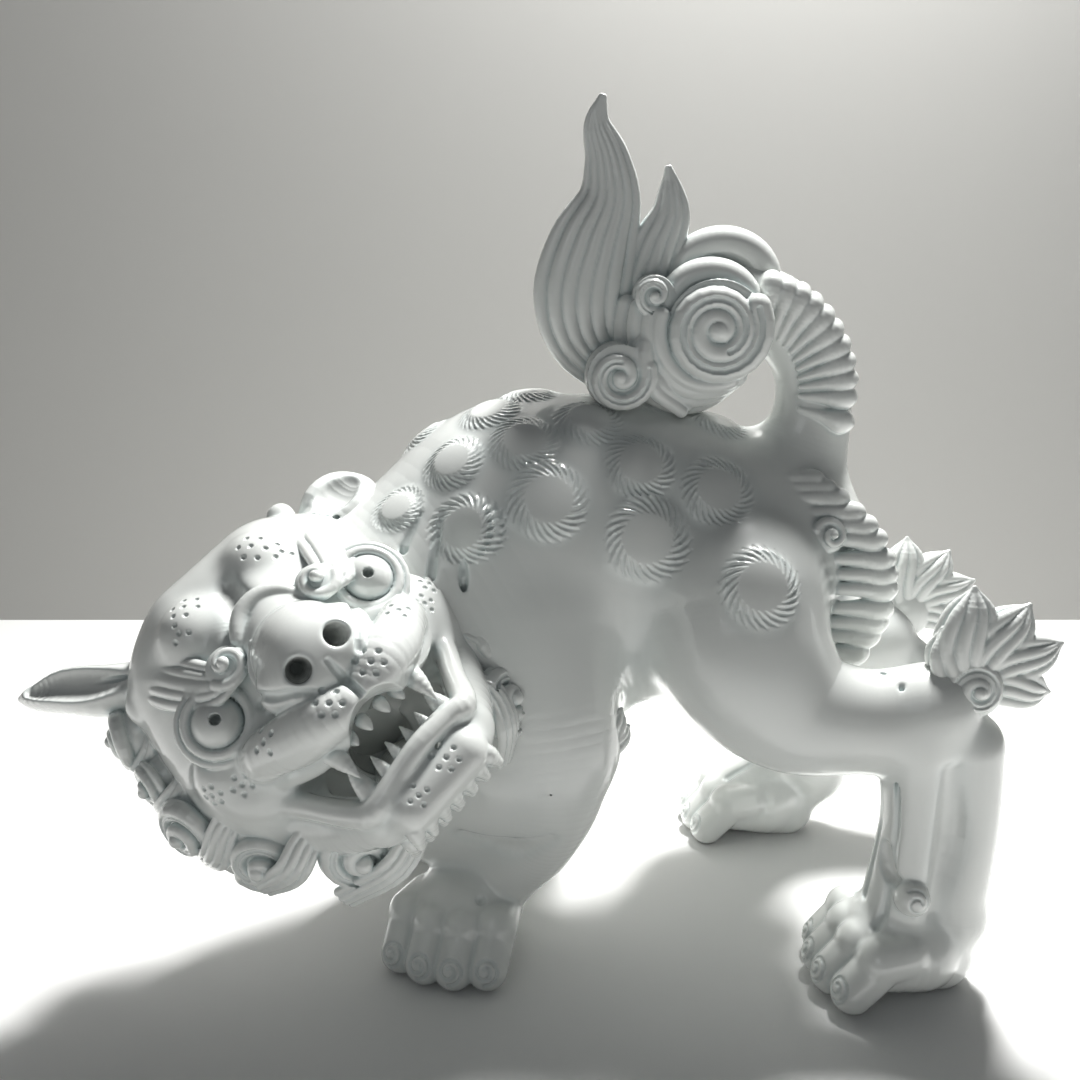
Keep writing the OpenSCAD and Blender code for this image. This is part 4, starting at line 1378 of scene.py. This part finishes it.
def soft_light(name, at, target, size, power, colour=(1, 1, 1)):
    """A square lamp aimed at a point."""
    data = bpy.data.lights.new(name, "AREA")
    data.shape = "RECTANGLE"
    data.size, data.size_y = size
    data.energy = power
    data.color = colour
    lamp = bpy.data.objects.new(name, data)
    lamp.location = at
    aim = unit(np.asarray(target, float) - np.asarray(at, float))
    side = unit(np.cross(aim, (0, 0, 1)))
    up = np.cross(side, aim)
    turn = np.column_stack([side, up, -aim])
    lamp.rotation_euler = matrix_euler(turn)
    bpy.context.scene.collection.objects.link(lamp)
    return lamp


def matrix_euler(turn):
    """XYZ angles of a 3 x 3 rotation."""
    y = math.asin(max(-1.0, min(1.0, -turn[2, 0])))
    return (math.atan2(turn[2, 1], turn[2, 2]), y, math.atan2(turn[1, 0], turn[0, 0]))


class LION_OT_stage(bpy.types.Operator):
    """Sets the pale floor, the grey backdrop, the studio lights and the camera"""

    bl_idname = "lion.stage"
    bl_label = "Stage"

    def execute(self, context):
        settings = context.scene.lion_stage
        floor_z = CAD_BOX[0][2]
        datum = statue_place().origin * 0.001
        half_width, floor_front, wall_top = 2.6, -1.6, 2.4
        wide = np.linspace(-half_width, half_width, 5)
        back = datum[1] + settings.wall_distance
        deep = np.linspace(floor_front, back, 5)
        floor = sheet_mesh("studio_floor", [[(x, y, floor_z) for x in wide] for y in deep])
        floor.data.materials.append(plain_paint("studio floor", tuple(settings.floor_colour), 0.6))
        tall = np.linspace(floor_z, wall_top, 5)
        wall = sheet_mesh("studio_wall", [[(x, back, z) for x in wide] for z in tall])
        wall.data.materials.append(plain_paint("studio wall", tuple(settings.wall_colour), 0.9))
        aim = datum + (0, 0, 0.15)
        soft_light("key", datum + (0.22, 0.3, 0.95), aim, (0.14, 0.2), 19.0, (1.0, 1.0, 0.985))
        soft_light("fill", datum + (-0.5, -1.4, 0.9), aim, (0.5, 0.7), 0.9, (0.95, 0.98, 1.0))
        world = bpy.data.worlds.new("studio air")
        world.use_nodes = True
        world.node_tree.nodes["Background"].inputs["Color"].default_value = (0.9, 0.95, 1.0, 1.0)
        world.node_tree.nodes["Background"].inputs["Strength"].default_value = 0.07
        context.scene.world = world
        data = bpy.data.cameras.new("camera")
        data.lens = settings.lens
        data.sensor_width = 36
        camera = bpy.data.objects.new("camera", data)
        camera.location = (datum[0], datum[1] - settings.camera_distance, floor_z + settings.camera_height)
        camera.rotation_euler = (math.pi / 2 - settings.camera_pitch, 0, 0)
        context.scene.collection.objects.link(camera)
        context.scene.camera = camera
        context.scene.view_settings.view_transform = "Standard"
        return {"FINISHED"}


class LION_PT_panel(bpy.types.Panel):
    """The statue's settings and the operators that make it"""

    bl_idname = "LION_PT_panel"
    bl_label = "Guardian Lion"
    bl_space_type = "VIEW_3D"
    bl_region_type = "UI"
    bl_category = "Guardian Lion"

    def draw(self, context):
        for group in (context.scene.lion_clay, context.scene.lion_glaze, context.scene.lion_stage):
            box = self.layout.box()
            for name in group.__annotations__:
                box.prop(group, name)
        for operator in (LION_OT_body, LION_OT_head, LION_OT_tail, LION_OT_tufts, LION_OT_stage):
            self.layout.operator(operator.bl_idname)


CLASSES = (
    LionClaySettings, LionGlazeSettings, LionStageSettings, LION_OT_body, LION_OT_head, LION_OT_tail,
    LION_OT_tufts, LION_OT_stage, LION_PT_panel,
)


def register():
    for cls in CLASSES:
        bpy.utils.register_class(cls)
    bpy.types.Scene.lion_clay = PointerProperty(type=LionClaySettings)
    bpy.types.Scene.lion_glaze = PointerProperty(type=LionGlazeSettings)
    bpy.types.Scene.lion_stage = PointerProperty(type=LionStageSettings)


def unregister():
    del bpy.types.Scene.lion_stage
    del bpy.types.Scene.lion_glaze
    del bpy.types.Scene.lion_clay
    for cls in reversed(CLASSES):
        bpy.utils.unregister_class(cls)


def main():
    register()
    bpy.ops.lion.stage()
    bpy.ops.lion.body()
    bpy.ops.lion.head()
    bpy.ops.lion.tail()
    bpy.ops.lion.tufts()


if __name__ == "__main__":
    main()
